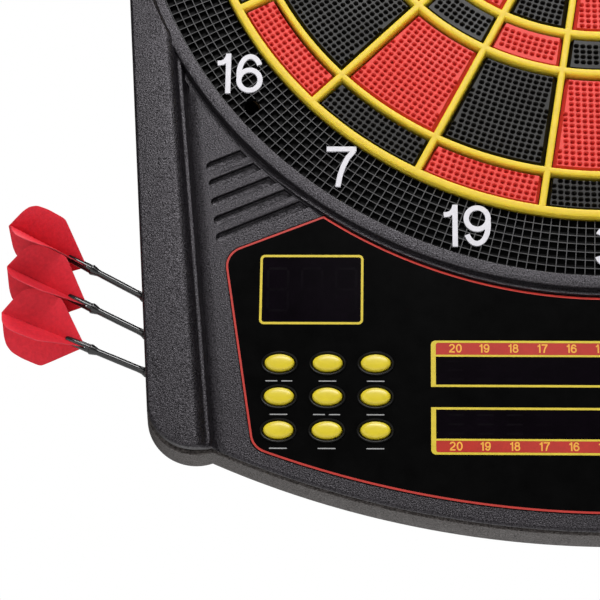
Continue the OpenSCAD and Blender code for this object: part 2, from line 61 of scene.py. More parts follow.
def lin(c):
    """sRGB 0-255 to linear."""
    out = []
    for v in c:
        v = v / 255.0
        out.append(v / 12.92 if v <= 0.04045 else ((v + 0.055) / 1.055) ** 2.4)
    return out


def tone(c, k):
    return tuple(min(1.0, max(0.0, v * k)) for v in c) + (1.0,)


def material(name, rgb, var=0.15, grain=700.0, detail=3.0, rough=(0.45, 0.6), bump=0.2, depth=0.0001, spec=0.5,
             metal=0.0, coat=0.0, second=None, wave=None, sub=0.0, glint=None, tint=None, radius=None):
    """A procedural finish: a noise drives the colour, the roughness and a fine bump."""
    m = bpy.data.materials.new(name)
    m.use_nodes = True
    nt = m.node_tree
    bsdf = nt.nodes["Principled BSDF"]
    base = lin(rgb)
    co = nt.nodes.new("ShaderNodeTexCoord")
    noise = nt.nodes.new("ShaderNodeTexNoise")
    noise.inputs["Scale"].default_value = grain
    noise.inputs["Detail"].default_value = detail
    noise.inputs["Roughness"].default_value = 0.6
    nt.links.new(co.outputs["Object"], noise.inputs["Vector"])
    ramp = nt.nodes.new("ShaderNodeValToRGB")
    ramp.color_ramp.elements[0].position = 0.3
    ramp.color_ramp.elements[1].position = 0.7
    ramp.color_ramp.elements[0].color = tone(base, 1 - var)
    ramp.color_ramp.elements[1].color = tone(base, 1 + var)
    if second is not None:
        mid = ramp.color_ramp.elements.new(0.5)
        mid.color = tuple(lin(second)) + (1.0,)
    source = noise.outputs["Fac"]
    if wave is not None:
        w = nt.nodes.new("ShaderNodeTexWave")
        w.wave_type = wave[0]
        w.bands_direction = wave[1]
        w.inputs["Scale"].default_value = wave[2]
        w.inputs["Distortion"].default_value = wave[3]
        nt.links.new(co.outputs["Object"], w.inputs["Vector"])
        source = w.outputs["Fac"]
    nt.links.new(source, ramp.inputs["Fac"])
    nt.links.new(ramp.outputs["Color"], bsdf.inputs["Base Color"])
    coarse = nt.nodes.new("ShaderNodeTexNoise")
    coarse.inputs["Scale"].default_value = grain * 0.09
    coarse.inputs["Detail"].default_value = 2.0
    nt.links.new(co.outputs["Object"], coarse.inputs["Vector"])
    rr = nt.nodes.new("ShaderNodeMapRange")
    rr.inputs["From Min"].default_value = 0.3
    rr.inputs["From Max"].default_value = 0.7
    rr.inputs["To Min"].default_value = rough[0]
    rr.inputs["To Max"].default_value = rough[1]
    nt.links.new(coarse.outputs["Fac"], rr.inputs["Value"])
    nt.links.new(rr.outputs["Result"], bsdf.inputs["Roughness"])
    if bump:
        b = nt.nodes.new("ShaderNodeBump")
        b.inputs["Strength"].default_value = bump
        b.inputs["Distance"].default_value = depth
        nt.links.new(source, b.inputs["Height"])
        nt.links.new(b.outputs["Normal"], bsdf.inputs["Normal"])
    if glint is None:
        bsdf.inputs["Specular IOR Level"].default_value = spec
    else:
        g = nt.nodes.new("ShaderNodeMapRange")
        g.inputs["From Min"].default_value = 0.32
        g.inputs["From Max"].default_value = 0.68
        g.inputs["To Min"].default_value = glint[0]
        g.inputs["To Max"].default_value = glint[1]
        nt.links.new(source, g.inputs["Value"])
        nt.links.new(g.outputs["Result"], bsdf.inputs["Specular IOR Level"])
    if tint is not None:
        bsdf.inputs["Specular Tint"].default_value = tint + (1.0,)
    bsdf.inputs["Metallic"].default_value = metal
    if coat:
        bsdf.inputs["Coat Weight"].default_value = coat
        bsdf.inputs["Coat Roughness"].default_value = 0.12
    if sub:
        bsdf.inputs["Subsurface Weight"].default_value = sub
        bsdf.inputs["Subsurface Scale"].default_value = 0.002
    if radius is not None:
        bsdf.inputs["Subsurface Radius"].default_value = radius
    return m


M = {
    "housing": material("housing_charcoal", (17, 15, 18), var=0.9, grain=1500, detail=3.0, rough=(0.31, 0.38), bump=1.0, depth=0.00025, glint=(0.1, 0.74), tint=(0.98, 0.93, 1.0)),
    # side walls: a much lighter copy of the charcoal housing, painted light standing in for light bounced up from below
    "wall": material("housing_side_painted_bounce", (62, 57, 55), var=0.7, grain=1200, detail=3.0, rough=(0.42, 0.52), bump=1.0, depth=0.0005, glint=(0.05, 0.5)),
    "cover": material("cover_black", (40, 40, 42), var=0.3, grain=420, rough=(0.55, 0.68), bump=0.35, depth=0.0002, spec=0.35),
    "ring_black": material("number_ring_black", (4, 4, 4), var=0.3, grain=600, rough=(0.5, 0.62), bump=0.15, spec=0.1),
    "ring_grid": material("number_ring_grid", (76, 75, 76), var=0.22, grain=600, rough=(0.45, 0.6), bump=0.15, spec=0.2),
    "numeral": material("numeral_white", (206, 204, 210), var=0.04, grain=500, rough=(0.4, 0.5), bump=0.08, spec=0.4),
    "spider": material("spider_yellow", (217, 190, 56), var=0.05, grain=180, rough=(0.34, 0.46), bump=0.1, spec=0.22, sub=0.85, radius=(1.3, 1.2, 0.9)),
    "seg_red": material("segment_red", (216, 64, 56), var=0.1, grain=420, rough=(0.4, 0.52), bump=0.15, spec=0.22),
    "seg_black": material("segment_black", (20, 18, 16), var=0.2, grain=420, rough=(0.36, 0.46), bump=0.15, spec=0.24),
    "panel": material("panel_gloss_black", (7, 7, 7), var=0.25, grain=90, rough=(0.14, 0.2), bump=0.0, spec=0.06),
    "line_red": material("panel_line_red", (172, 48, 40), var=0.08, grain=300, rough=(0.35, 0.45), bump=0.05, spec=0.3),
    # a lighter red for the same border line where it lies in the ring's cast shadow: painted light that offsets that
    # shadow
    "line_red_painted_lit": material("panel_line_red_painted_lit", (208, 60, 50), var=0.08, grain=300, rough=(0.35, 0.45), bump=0.05, spec=0.3),
    "line_yellow": material("panel_line_yellow", (200, 178, 50), var=0.07, grain=300, rough=(0.35, 0.45), bump=0.05, spec=0.3),
    "strip_red": material("strip_red", (168, 38, 25), var=0.07, grain=250, rough=(0.35, 0.45), bump=0.05, spec=0.3),
    "digit_orange": material("strip_number", (222, 160, 56), var=0.06, grain=300, rough=(0.4, 0.5), bump=0.05, spec=0.3),
    "dash_white": material("panel_mark_grey", (150, 150, 150), var=0.08, grain=300, rough=(0.4, 0.5), bump=0.05, spec=0.3),
    "lens": material("display_lens", (7, 4, 8), var=0.3, grain=70, rough=(0.12, 0.2), bump=0.0, spec=0.1),
    "lens_bar": material("display_digit_bar", (8, 5, 9), var=0.2, grain=200, rough=(0.14, 0.22), bump=0.0, spec=0.1),
    "collar": material("collar_black", (12, 12, 12), var=0.25, grain=300, rough=(0.3, 0.4), bump=0.05, spec=0.2),
    "button": material("button_yellow", (206, 186, 42), var=0.05, grain=220, rough=(0.28, 0.38), bump=0.08, spec=0.45),
    "shaft": material("shaft_black", (14, 14, 15), var=0.25, grain=400, rough=(0.16, 0.26), bump=0.06, spec=0.6),
    "flight": material("flight_red", (206, 45, 58), var=0.1, grain=500, rough=(0.42, 0.54), bump=0.12, spec=0.1, sub=0.08),
    "flight_edge": material("flight_edge", (190, 60, 72), var=0.08, grain=500, rough=(0.4, 0.5), bump=0.05, spec=0.35),
    "brass": material("barrel_brass", (196, 160, 84), var=0.12, grain=900, rough=(0.2, 0.34), bump=0.2, spec=0.5, metal=1.0),
    "tip": material("tip_black", (24, 24, 25), var=0.2, grain=600, rough=(0.4, 0.5), bump=0.1, spec=0.35),
    "rubber": material("mat_rubber", (30, 29, 28), var=0.25, grain=500, rough=(0.7, 0.8), bump=0.3, spec=0.2),
    "film": material("membrane_film", (176, 186, 178), var=0.12, grain=120, rough=(0.35, 0.5), bump=0.05, spec=0.4, wave=("BANDS", "X", 40.0, 0.2)),
    "foam": material("foam_grey", (90, 90, 95), var=0.3, grain=380, rough=(0.85, 0.95), bump=0.5, spec=0.1),
    "board": material("hardboard", (150, 118, 82), var=0.22, grain=260, rough=(0.6, 0.75), bump=0.3, spec=0.2, wave=("BANDS", "Z", 9.0, 6.0)),
    "circuit": material("circuit_green", (28, 92, 58), var=0.25, grain=160, rough=(0.3, 0.45), bump=0.1, spec=0.4),
    "speaker": material("speaker_black", (34, 34, 36), var=0.3, grain=300, rough=(0.4, 0.55), bump=0.2, spec=0.4),
    "inlet": material("inlet_black", (24, 24, 25), var=0.25, grain=500, rough=(0.4, 0.55), bump=0.2, spec=0.4),
    "holder": material("holder_grey", (52, 52, 54), var=0.25, grain=420, rough=(0.5, 0.62), bump=0.25, spec=0.35),
    "screw": material("screw_zinc", (196, 196, 200), var=0.12, grain=900, rough=(0.25, 0.38), bump=0.15, spec=0.5, metal=1.0),
    "cable": material("cable_grey", (178, 176, 170), var=0.15, grain=300, rough=(0.45, 0.6), bump=0.15, spec=0.3, wave=("BANDS", "X", 160.0, 0.1)),
}

# ------------------------------------------------------------------ mesh tools


def front(xz, d):
    """Points of the face plane (x, z) at depth d from the wall, as row-frame millimetres."""
    xz = np.asarray(xz, float)
    d = np.broadcast_to(np.asarray(d, float), (len(xz),))
    return np.column_stack((xz[:, 0], -d, xz[:, 1]))


class Build:
    """Collects closed shells, in millimetres, and makes one piece of them."""

    def __init__(self):
        self.v, self.f, self.m, self.n = [], [], [], 0

    def add(self, v, f, m=0):
        v = np.asarray(v, float)
        self.v.append(v)
        self.f += [tuple(int(i) + self.n for i in q) for q in f]
        self.m += [m] * len(f)
        self.n += len(v)
        return self

    def piece(self, name, mats, body="cabinet", nodes=(), slot=None, smooth=35.0, weld=True):
        me = bpy.data.meshes.new(name)
        co = np.concatenate(self.v) * 0.001
        me.from_pydata(co.tolist(), [], self.f)
        me.polygons.foreach_set("material_index", self.m)
        bm = bmesh.new()
        bm.from_mesh(me)
        if weld:
            bmesh.ops.remove_doubles(bm, verts=bm.verts, dist=2e-6)
        bmesh.ops.recalc_face_normals(bm, faces=bm.faces)
        bm.to_mesh(me)
        bm.free()
        for k in mats if isinstance(mats, (list, tuple)) else [mats]:
            me.materials.append(M[k])
        me.polygons.foreach_set("use_smooth", [True] * len(me.polygons))
        me.set_sharp_from_angle(angle=math.radians(smooth))
        o = bpy.data.objects.new(name, me)
        scene.collection.objects.link(o)
        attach(o, body)
        if nodes:
            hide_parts(*nodes)
        return o


def cut_with(o, cutters):
    """Takes closed shells out of a piece; cutters is a list of (verts in mm, faces)."""
    made = []
    for i, (v, f) in enumerate(cutters):
        me = bpy.data.meshes.new("cut%d" % i)
        me.from_pydata((np.asarray(v) * 0.001).tolist(), [], [tuple(map(int, q)) for q in f])
        bm = bmesh.new()
        bm.from_mesh(me)
        bmesh.ops.remove_doubles(bm, verts=bm.verts, dist=1e-6)
        bmesh.ops.recalc_face_normals(bm, faces=bm.faces)
        bm.to_mesh(me)
        bm.free()
        for mat in o.data.materials:
            me.materials.append(mat)
        c = bpy.data.objects.new("cut%d" % i, me)
        scene.collection.objects.link(c)
        made.append(c)
        b = o.modifiers.new("cut%d" % i, "BOOLEAN")
        b.operation = "DIFFERENCE"
        b.solver = "MANIFOLD"
        b.object = c
    dg = bpy.context.evaluated_depsgraph_get()
    new = bpy.data.meshes.new_from_object(o.evaluated_get(dg))
    o.modifiers.clear()
    old = o.data
    new.name = old.name + "_cut"
    o.data = new
    bpy.data.meshes.remove(old)
    for c in made:
        me = c.data
        bpy.data.objects.remove(c)
        bpy.data.meshes.remove(me)
    o.data.polygons.foreach_set("use_smooth", [True] * len(o.data.polygons))
    o.data.set_sharp_from_angle(angle=math.radians(35))
    return o


def poly_distance(p, q):
    """Distance of points p to the closed polygon q."""
    p, a = np.asarray(p, float), np.asarray(q, float)
    b = np.roll(a, -1, axis=0)
    ab = b - a
    l2 = (ab ** 2).sum(1) + 1e-18
    out = np.empty(len(p))
    step = max(1, int(3e6 / len(a)))
    for i in range(0, len(p), step):
        c = p[i : i + step, None, :]
        t = np.clip(((c - a) * ab).sum(2) / l2, 0, 1)
        out[i : i + step] = np.sqrt((((a + t[..., None] * ab) - c) ** 2).sum(2).min(1))
    return out


def inside(p, q):
    """Even-odd test of points p against the closed polygon q."""
    p, a = np.asarray(p, float), np.asarray(q, float)
    b = np.roll(a, -1, axis=0)
    out = np.zeros(len(p), bool)
    step = max(1, int(3e6 / len(a)))
    for i in range(0, len(p), step):
        x, y = p[i : i + step, 0][:, None], p[i : i + step, 1][:, None]
        hit = (a[:, 1] > y) != (b[:, 1] > y)
        with np.errstate(divide="ignore", invalid="ignore"):
            cx = a[:, 0] + (y - a[:, 1]) * (b[:, 0] - a[:, 0]) / (b[:, 1] - a[:, 1])
        out[i : i + step] = ((hit & (x < cx)).sum(1) % 2) == 1
    return out


def mesh_plane(loops, lines=(), points=(), keep=None):
    """Triangulates the plane with closed loops, open lines and single points as fixed edges; keep picks triangles by centroid."""
    pts, edges, n = [], [], 0
    for l in loops:
        l = np.asarray(l, float)
        pts.append(l)
        edges += [(n + i, n + (i + 1) % len(l)) for i in range(len(l))]
        n += len(l)
    for l in lines:
        l = np.asarray(l, float)
        pts.append(l)
        edges += [(n + i, n + i + 1) for i in range(len(l) - 1)]
        n += len(l)
    if len(points):
        pts.append(np.asarray(points, float))
    pts = np.concatenate(pts)
    r = delaunay_2d_cdt([Vector(p) for p in pts.tolist()], edges, [], 0, 1e-5, False)
    v = np.array([tuple(p) for p in r[0]], float)
    t = np.array([f for f in r[2] if len(f) == 3], int)
    a, b, c = v[t[:, 0]], v[t[:, 1]], v[t[:, 2]]
    area = (b[:, 0] - a[:, 0]) * (c[:, 1] - a[:, 1]) - (b[:, 1] - a[:, 1]) * (c[:, 0] - a[:, 0])
    t[area < 0] = t[area < 0][:, ::-1]
    t = t[np.abs(area) > 1e-9]
    if keep is not None:
        t = t[keep(v[t].mean(1))]
    used, back = np.unique(t, return_inverse=True)
    return v[used], back.reshape(t.shape)


def slab(v, t, top, bottom):
    """A closed shell over a plane mesh, from depth bottom up to depth top."""
    n = len(v)
    verts = np.concatenate((front(v, top), front(v, bottom)))
    faces = [tuple(q) for q in t] + [tuple(q[::-1] + n) for q in t]
    e = np.concatenate((t[:, [0, 1]], t[:, [1, 2]], t[:, [2, 0]]))
    have = set(map(tuple, e.tolist()))
    for a, b in e.tolist():
        if (b, a) not in have:
            faces.append((a, a + n, b + n, b))
    return verts, faces


def circle(r, n, cx=0.0, cz=0.0, turn=0.0):
    t = np.arange(n) * 2 * np.pi / n + turn
    return np.column_stack((cx + r * np.cos(t), cz + r * np.sin(t)))


def ellipse(cx, cz, a, b, n=48):
    t = np.arange(n) * 2 * np.pi / n
    return np.column_stack((cx + a * np.cos(t), cz + b * np.sin(t)))


def rect(x, z, w, h, r=0.0, n=6):
    if r <= 0:
        return np.array([(x, z), (x + w, z), (x + w, z + h), (x, z + h)], float)
    out = []
    for cx, cz, a0 in ((x + w - r, z + r, -90), (x + w - r, z + h - r, 0), (x + r, z + h - r, 90), (x + r, z + r, 180)):
        for k in range(n + 1):
            a = math.radians(a0 + 90.0 * k / n)
            out.append((cx + r * math.cos(a), cz + r * math.sin(a)))
    return np.array(out)


def loft(rings, cap=True):
    """Rings of equal length, joined by quads, with flat ends."""
    rings = [np.asarray(r, float) for r in rings]
    n = len(rings[0])
    faces = []
    for k in range(len(rings) - 1):
        for i in range(n):
            j = (i + 1) % n
            faces.append((k * n + i, k * n + j, (k + 1) * n + j, (k + 1) * n + i))
    if cap:
        faces.append(tuple(range(n))[::-1])
        faces.append(tuple((len(rings) - 1) * n + i for i in range(n)))
    return np.concatenate(rings), faces


def lathe(profile, n=32):
    """Turns (r, z) about the local z axis."""
    t = np.arange(n) * 2 * np.pi / n
    return loft([np.column_stack((r * np.cos(t), r * np.sin(t), np.full(n, z))) for r, z in profile])


def placed(v, origin, ax, ay, az):
    v = np.asarray(v, float)
    return np.asarray(origin, float) + v @ np.array([ax, ay, az], float)


# ------------------------------------------------------------------ housing outline

HR, CR, CX, CZ = 232.5, 23.5, 187.0, -285.0
BC, BR = 108.0, 452.5
TURN = math.atan2(CZ, CX) + math.acos((HR - CR) / math.hypot(CX, CZ))


def outline(i=0.0, rear=0.0):
    """The housing seen from the front, i inside its edge; the rear edge of the walls is wider at the lower corners."""
    CX, CR = 187.0 + 1.4 * rear, 23.5 - 0.4 * rear
    TURN = math.atan2(CZ, CX) + math.acos((HR - CR) / math.hypot(CX, CZ))
    r, c, b = HR - i, CR - i, BR - i
    lo, hi = math.radians(-160), math.radians(-90)
    for _ in range(60):
        mid = (lo + hi) / 2
        p = (CX + c * math.cos(mid), CZ + c * math.sin(mid) - BC)
        if math.hypot(*p) > b:
            hi = mid
        else:
            lo = mid
    notch = (lo + hi) / 2
    out = []
    for a in np.linspace(TURN, math.pi - TURN, 300):
        out.append((r * math.cos(a), r * math.sin(a)))
    a = math.pi - TURN
    p0, p1 = np.array(out[-1]), np.array((-CX + c * math.cos(a), CZ + c * math.sin(a)))
    for k in range(1, 40):
        out.append(tuple(p0 + (p1 - p0) * k / 40))
    for a in np.linspace(math.pi - TURN, math.pi - notch, 30):
        out.append((-CX + c * math.cos(a), CZ + c * math.sin(a)))
    nx, nz = CX + c * math.cos(notch), CZ + c * math.sin(notch)
    w = math.atan2(nz - BC, nx)
    for a in np.linspace(math.pi - w - 2 * math.pi, w, 80)[1:-1]:
        out.append((b * math.cos(a), BC + b * math.sin(a)))
    for a in np.linspace(notch, TURN, 30):
        out.append((CX + c * math.cos(a), CZ + c * math.sin(a)))
    p0, p1 = np.array(out[-1]), np.array((r * math.cos(TURN), r * math.sin(TURN)))
    for k in range(1, 40):
        out.append(tuple(p0 + (p1 - p0) * k / 40))
    return np.array(out)


# ------------------------------------------------------------------ panel outline

PK, SH = np.array((-131.4, -193.8)), np.array((-166.5, -208.0))
ST, SL = np.array((-175.7, -220.4)), np.array((-163.5, -296.3))
PT, PC, PR, PF = 233.7, 125.0, 460.3, 10.0


def unit(v):
    return v / np.hypot(*v)


def meet(p, d, q, e):
    return p + d * (((q[0] - p[0]) * e[1] - (q[1] - p[1]) * e[0]) / (d[0] * e[1] - d[1] * e[0]))


def panel_outline(i=0.0):
    dt, dl = unit(SH - PK), unit(SL - ST)
    nt, nl = np.array((-dt[1], dt[0])), np.array((-dl[1], dl[0]))
    f1 = meet(PK + nt * PF, dt, ST + nl * PF, dl)
    base = ST + nl * PF - np.array((0, PC))
    bd = base @ dl
    f2 = np.array((0, PC)) + base + dl * (-bd + math.sqrt(bd * bd - base @ base + (PR - PF) ** 2))
    r = PF - i
    # where the sloping top line meets the circle round the target
    o, d = PK + nt * i, -dt
    b, c = o @ d, o @ o - (PT + i) ** 2
    roots = [-b - math.sqrt(max(0.0, b * b - c)), -b + math.sqrt(max(0.0, b * b - c))]
    peak = o + d * min(roots, key=abs)
    half = []
    a0, a1 = math.atan2(peak[1], peak[0]), -math.pi / 2
    for a in np.linspace(a1, a0, 50):
        half.append(((PT + i) * math.cos(a), (PT + i) * math.sin(a)))
    s0, s1 = f1 - nt * r, f1 - nl * r
    for k in range(1, 8):
        half.append(tuple(peak + (s0 - peak) * k / 8))
    a0, a1 = math.atan2(*(-nt)[::-1]), math.atan2(*(-nl)[::-1])
    if a1 < a0:
        a1 += 2 * math.pi
    for a in np.linspace(a0, a1, 14):
        half.append((f1[0] + r * math.cos(a), f1[1] + r * math.sin(a)))
    s2 = f2 - nl * r
    for k in range(1, 12):
        half.append(tuple(s1 + (s2 - s1) * k / 12))
    arc = unit(f2 - np.array((0, PC)))
    a0, a1 = math.atan2(*(-nl)[::-1]), math.atan2(arc[1], arc[0])
    if a1 < a0:
        a1 += 2 * math.pi
    for a in np.linspace(a0, a1, 14):
        half.append((f2[0] + r * math.cos(a), f2[1] + r * math.sin(a)))
    a0 = math.atan2(arc[1], arc[0])
    for a in np.linspace(a0, -math.pi / 2, 40)[1:]:
        half.append(((PR - i) * math.cos(a), PC + (PR - i) * math.sin(a)))
    half = np.array(half)
    other = half[1:-1][::-1] * np.array((-1, 1))
    return np.concatenate((half, other))


SCORE = (-159.5, -246.75, 46.85, 33.25)
UPPER = (-81.4, -276.3, 162.8, 21.3)
LOWER = (-81.4, -307.7, 162.8, 21.3)
WINDOWS = [SCORE, (-SCORE[0] - SCORE[2], SCORE[1], SCORE[2], SCORE[3]), UPPER, LOWER]
BUTTONS = [("button_%d" % (3 * r + c + 1), -150 + 21.75 * c, -265.9 - 15.8 * r) for r in range(3) for c in range(3)]
BUTTONS += [("start_button", 139.2, -272.0), ("power_button", 117.4, -272.0)]


def grown(w, g):
    return (w[0] - g, w[1] - g, w[2] + 2 * g, w[3] + 2 * g)


# ------------------------------------------------------------------ front housing

RING_R = (224.7, 224.75, 224.95, 225.3, 228.4, 228.8, 230.35, 230.7, 230.92, 231.05, 231.18, 231.35, 231.6)
RING_D = (38.3, 38.5, 38.62, 38.66, 38.78, 38.78, 38.7, 38.45, 37.8, 36.7, 35.2, 34.3, 34.0)
COL_T = (-7.0, -6.0, -5.0, -4.0, -3.0, -2.2, -1.6, -1.2, -0.8, -0.3, 0.2, 0.6, 0.9, 1.3, 1.7, 2.0, 2.6, 3.5, 4.5, 5.5, 6.5, 7.5)
COL_D = (40.5, 40.4, 40.1, 39.5, 38.7, 37.95, 37.25, 36.9, 36.75, 36.7, 36.62, 36.35, 35.7, 34.45, 33.2, 32.35, 32.66, 33.08, 33.45, 33.73, 33.91, 34.0)
RIDGE_A, RIDGE_B = np.array((-210.6, -17.0)), np.array((-177.9, -330.0))
RIDGE_U = unit(RIDGE_B - RIDGE_A)
RIDGE_N = np.array((-RIDGE_U[1], RIDGE_U[0]))
GROOVES = [(-183.9, -168.4), (-182.4, -177.1), (-181.2, -186.6), (-179.7, -195.7), (-178.4, -204.2)]
GU = np.array((math.cos(math.radians(23.5)), math.sin(math.radians(23.5))))
GN = np.array((-GU[1], GU[0]))
GROOVE_W = 2.45
GROOVE_STOP = 233.9


def groove_depth(p):
    """How far inside a groove's mouth a point lies (left side); negative outside."""
    best = np.full(len(p), -1e3)
    r = np.hypot(p[:, 0], p[:, 1])
    for c in GROOVES:
        q = p - np.array(c)
        a, b = q @ GU, q @ GN
        side = np.where(a > 0, GROOVE_W - np.abs(b), GROOVE_W - np.hypot(a, b))
        best = np.maximum(best, np.minimum(side, r - GROOVE_STOP))
    return best


def groove_loop(c, k):
    """The outline of a groove, k inside its mouth."""
    c = np.array(c)
    w = GROOVE_W - k
    out = []
    for a in np.linspace(90, 270, 13):
        a = math.radians(a)
        out.append(c + GU * w * math.cos(a) + GN * w * math.sin(a))
    for s in (-1, 1):
        o = c + GN * w * s
        b, cc = o @ GU, o @ o - (GROOVE_STOP + k) ** 2
        t = -b - math.sqrt(b * b - cc)
        out.append(o + GU * t)
    return np.array(out)


STEP = 1.45
LEDGE = 36.1
OUT0 = outline(STEP)
POCKET = panel_outline(-0.3)


def bezel_top(p, lip=False):
    x, z = -np.abs(p[:, 0]), p[:, 1]
    q = np.column_stack((x, z))
    r = np.hypot(x, z)
    t = (q - RIDGE_A) @ RIDGE_N
    col = np.interp(t, COL_T, COL_D)
    col = col - 0.05 * np.clip(-7.0 - t, 0, 30)
    ring = np.interp(r, RING_R, RING_D)
    h = np.where(r < 229.3, ring, np.maximum(np.where(r > 231.61, 0.0, ring), col))
    if lip:
        return np.interp(h, (34.0, 37.0, 40.5), (32.6, 33.9, 35.6))
    # low ledge between the ring and the panel, which runs out along the corner faces
    part = np.clip((45.0 - np.degrees(np.arctan2(-x, -z))) / 10.0, 0, 1)
    ledge = np.interp(r, (231.0, 231.05, 233.2, 233.3, 233.38), (34.0, LEDGE, LEDGE, LEDGE - 0.25, 34.0))
    h = np.where((r > 231.0) & (r < 233.5), np.maximum(h, 34.0 + (ledge - 34.0) * part), h)
    s = poly_distance(p, OUT0)
    e = np.clip(1.3 - s, 0, 1.3)
    h = h - (1.3 - np.sqrt(1.3 ** 2 - e ** 2))
    g = groove_depth(q)
    h = h - np.interp(g, (0, 0.2, 0.32, 0.7), (0.0, 0.2, 2.3, 2.45))
    pocket = inside(p, POCKET) & (poly_distance(p, POCKET) > 0.02)
    return np.where(pocket, 33.4, h)


def bezel_bottom(p):
    r = np.hypot(p[:, 0], p[:, 1])
    s = poly_distance(p, OUT0)
    return np.where(s < 1.43, bezel_top(p, True), np.where(s < 4.0, 30.2, np.where(r < 226.33, 35.0, np.where(groove_depth(np.column_stack((-np.abs(p[:, 0]), p[:, 1]))) > -1.0, 28.0, 31.5))))


loops = [OUT0] + [outline(STEP + i) for i in (0.03, 0.12, 0.3, 0.6, 0.95, 1.3, 1.4, 1.46, 2.2, 3.98, 4.04)]
loops += [circle(r, 360) for r in RING_R] + [circle(r, 360) for r in (226.3, 226.36, 227.4, 232.3, 232.7, 233.2, 233.3, 233.38)]
loops += [POCKET, panel_outline(-0.25)]
for c in GROOVES:
    for k in (-1.05, -0.98, 0.0, 0.2, 0.32, 0.7):
        g = groove_loop(c, k)
        loops += [g, g * np.array((-1, 1))]
holes = [ellipse(x, z, 6.75 + 0.9, 4 + 0.9) for _, x, z in BUTTONS] + [rect(*grown(w, 0.6)) for w in WINDOWS]
loops += holes
lines = []
for t in COL_T:
    a = RIDGE_A + RIDGE_N * t
    k = np.linspace(-40, 316, 60)[:, None]
    l = a + RIDGE_U * k
    r = np.hypot(l[:, 0], l[:, 1])
    l = l[(r > 228.5) & inside(l, outline(STEP - 0.2))]
    if len(l) > 1:
        lines += [l, l * np.array((-1, 1))]


def keep_bezel(c):
    ok = (np.hypot(c[:, 0], c[:, 1]) > 224.69) & inside(c, OUT0)
    for h in holes:
        ok &= ~inside(c, h)
    return ok


v, t = mesh_plane(loops, lines, keep=keep_bezel)
bezel = Build().add(*slab(v, t, bezel_top(v), bezel_bottom(v))).piece("front_bezel_shell", "housing", nodes=["front_bezel"], slot="housing", smooth=32)

# side walls behind the face: a band with a softened front edge and a rear lip, in a much lighter copy of the charcoal
# finish, which is painted light standing in for light bounced up onto them
rings = []
for i, w, d in ((0.3, 1.0, 11.5), (0.05, 1.0, 11.7), (0.0, 1.0, 12.1), (0.22, 0.5, 21.0), (0.45, 0.0, 29.8), (0.5, 0.0, 30.1), (0.65, 0.0, 30.35), (0.9, 0.0, 30.45), (2.62, 0.0, 30.45), (2.62, 0.0, 12.1), (2.5, 0.0, 11.5)):
    rings.append(front(outline(i, w), d))
v, f = loft(rings + [rings[0]], cap=False)
sides = Build().add(v, f).piece("front_bezel_walls", "wall", slot="housing", smooth=32)

# ------------------------------------------------------------------ darts

DARTS = [((-215.6, -228.6), 28.5), ((-214.1, -247.0), 26.7), ((-213.1, -265.4), 22.8)]
FLIGHT = [(0.7, 30.5), (1.8, 31.8), (16.6, 46.9), (17.25, 49.0), (17.3, 57.5), (16.4, 63.2), (14.0, 66.6), (10.4, 68.9), (0.0, 73.4)]
TURNS = [(44, 103, 235, 300), (36, 114, 222, 290), (33, 123, 213, 290)]
# how far the outer part of each wing hangs, towards larger turns
SAGS = [(-0.8, 3.6, 1.2, 0.4), (-0.6, 0.8, 0.9, 0.4), (-0.6, 0.9, 0.8, 0.4)]


def dart_axes(k):
    (x, z), s = DARTS[k]
    s = math.radians(s)
    return (x, -21.0, z), (math.sin(s), 0, math.cos(s)), (0, 1, 0), (-math.cos(s), 0, math.sin(s))


def rounded(points, n=5, share=0.35):
    """Softens the corners of an open line."""
    pts = [np.array(p, float) for p in points]
    out = [pts[0]]
    for a, b, c in zip(pts, pts[1:], pts[2:]):
        p, q = b + (a - b) * share, b + (c - b) * share
        for k in range(n + 1):
            u = k / n
            out.append((1 - u) ** 2 * p + 2 * u * (1 - u) * b + u * u * q)
    out.append(pts[-1])
    return np.array(out)


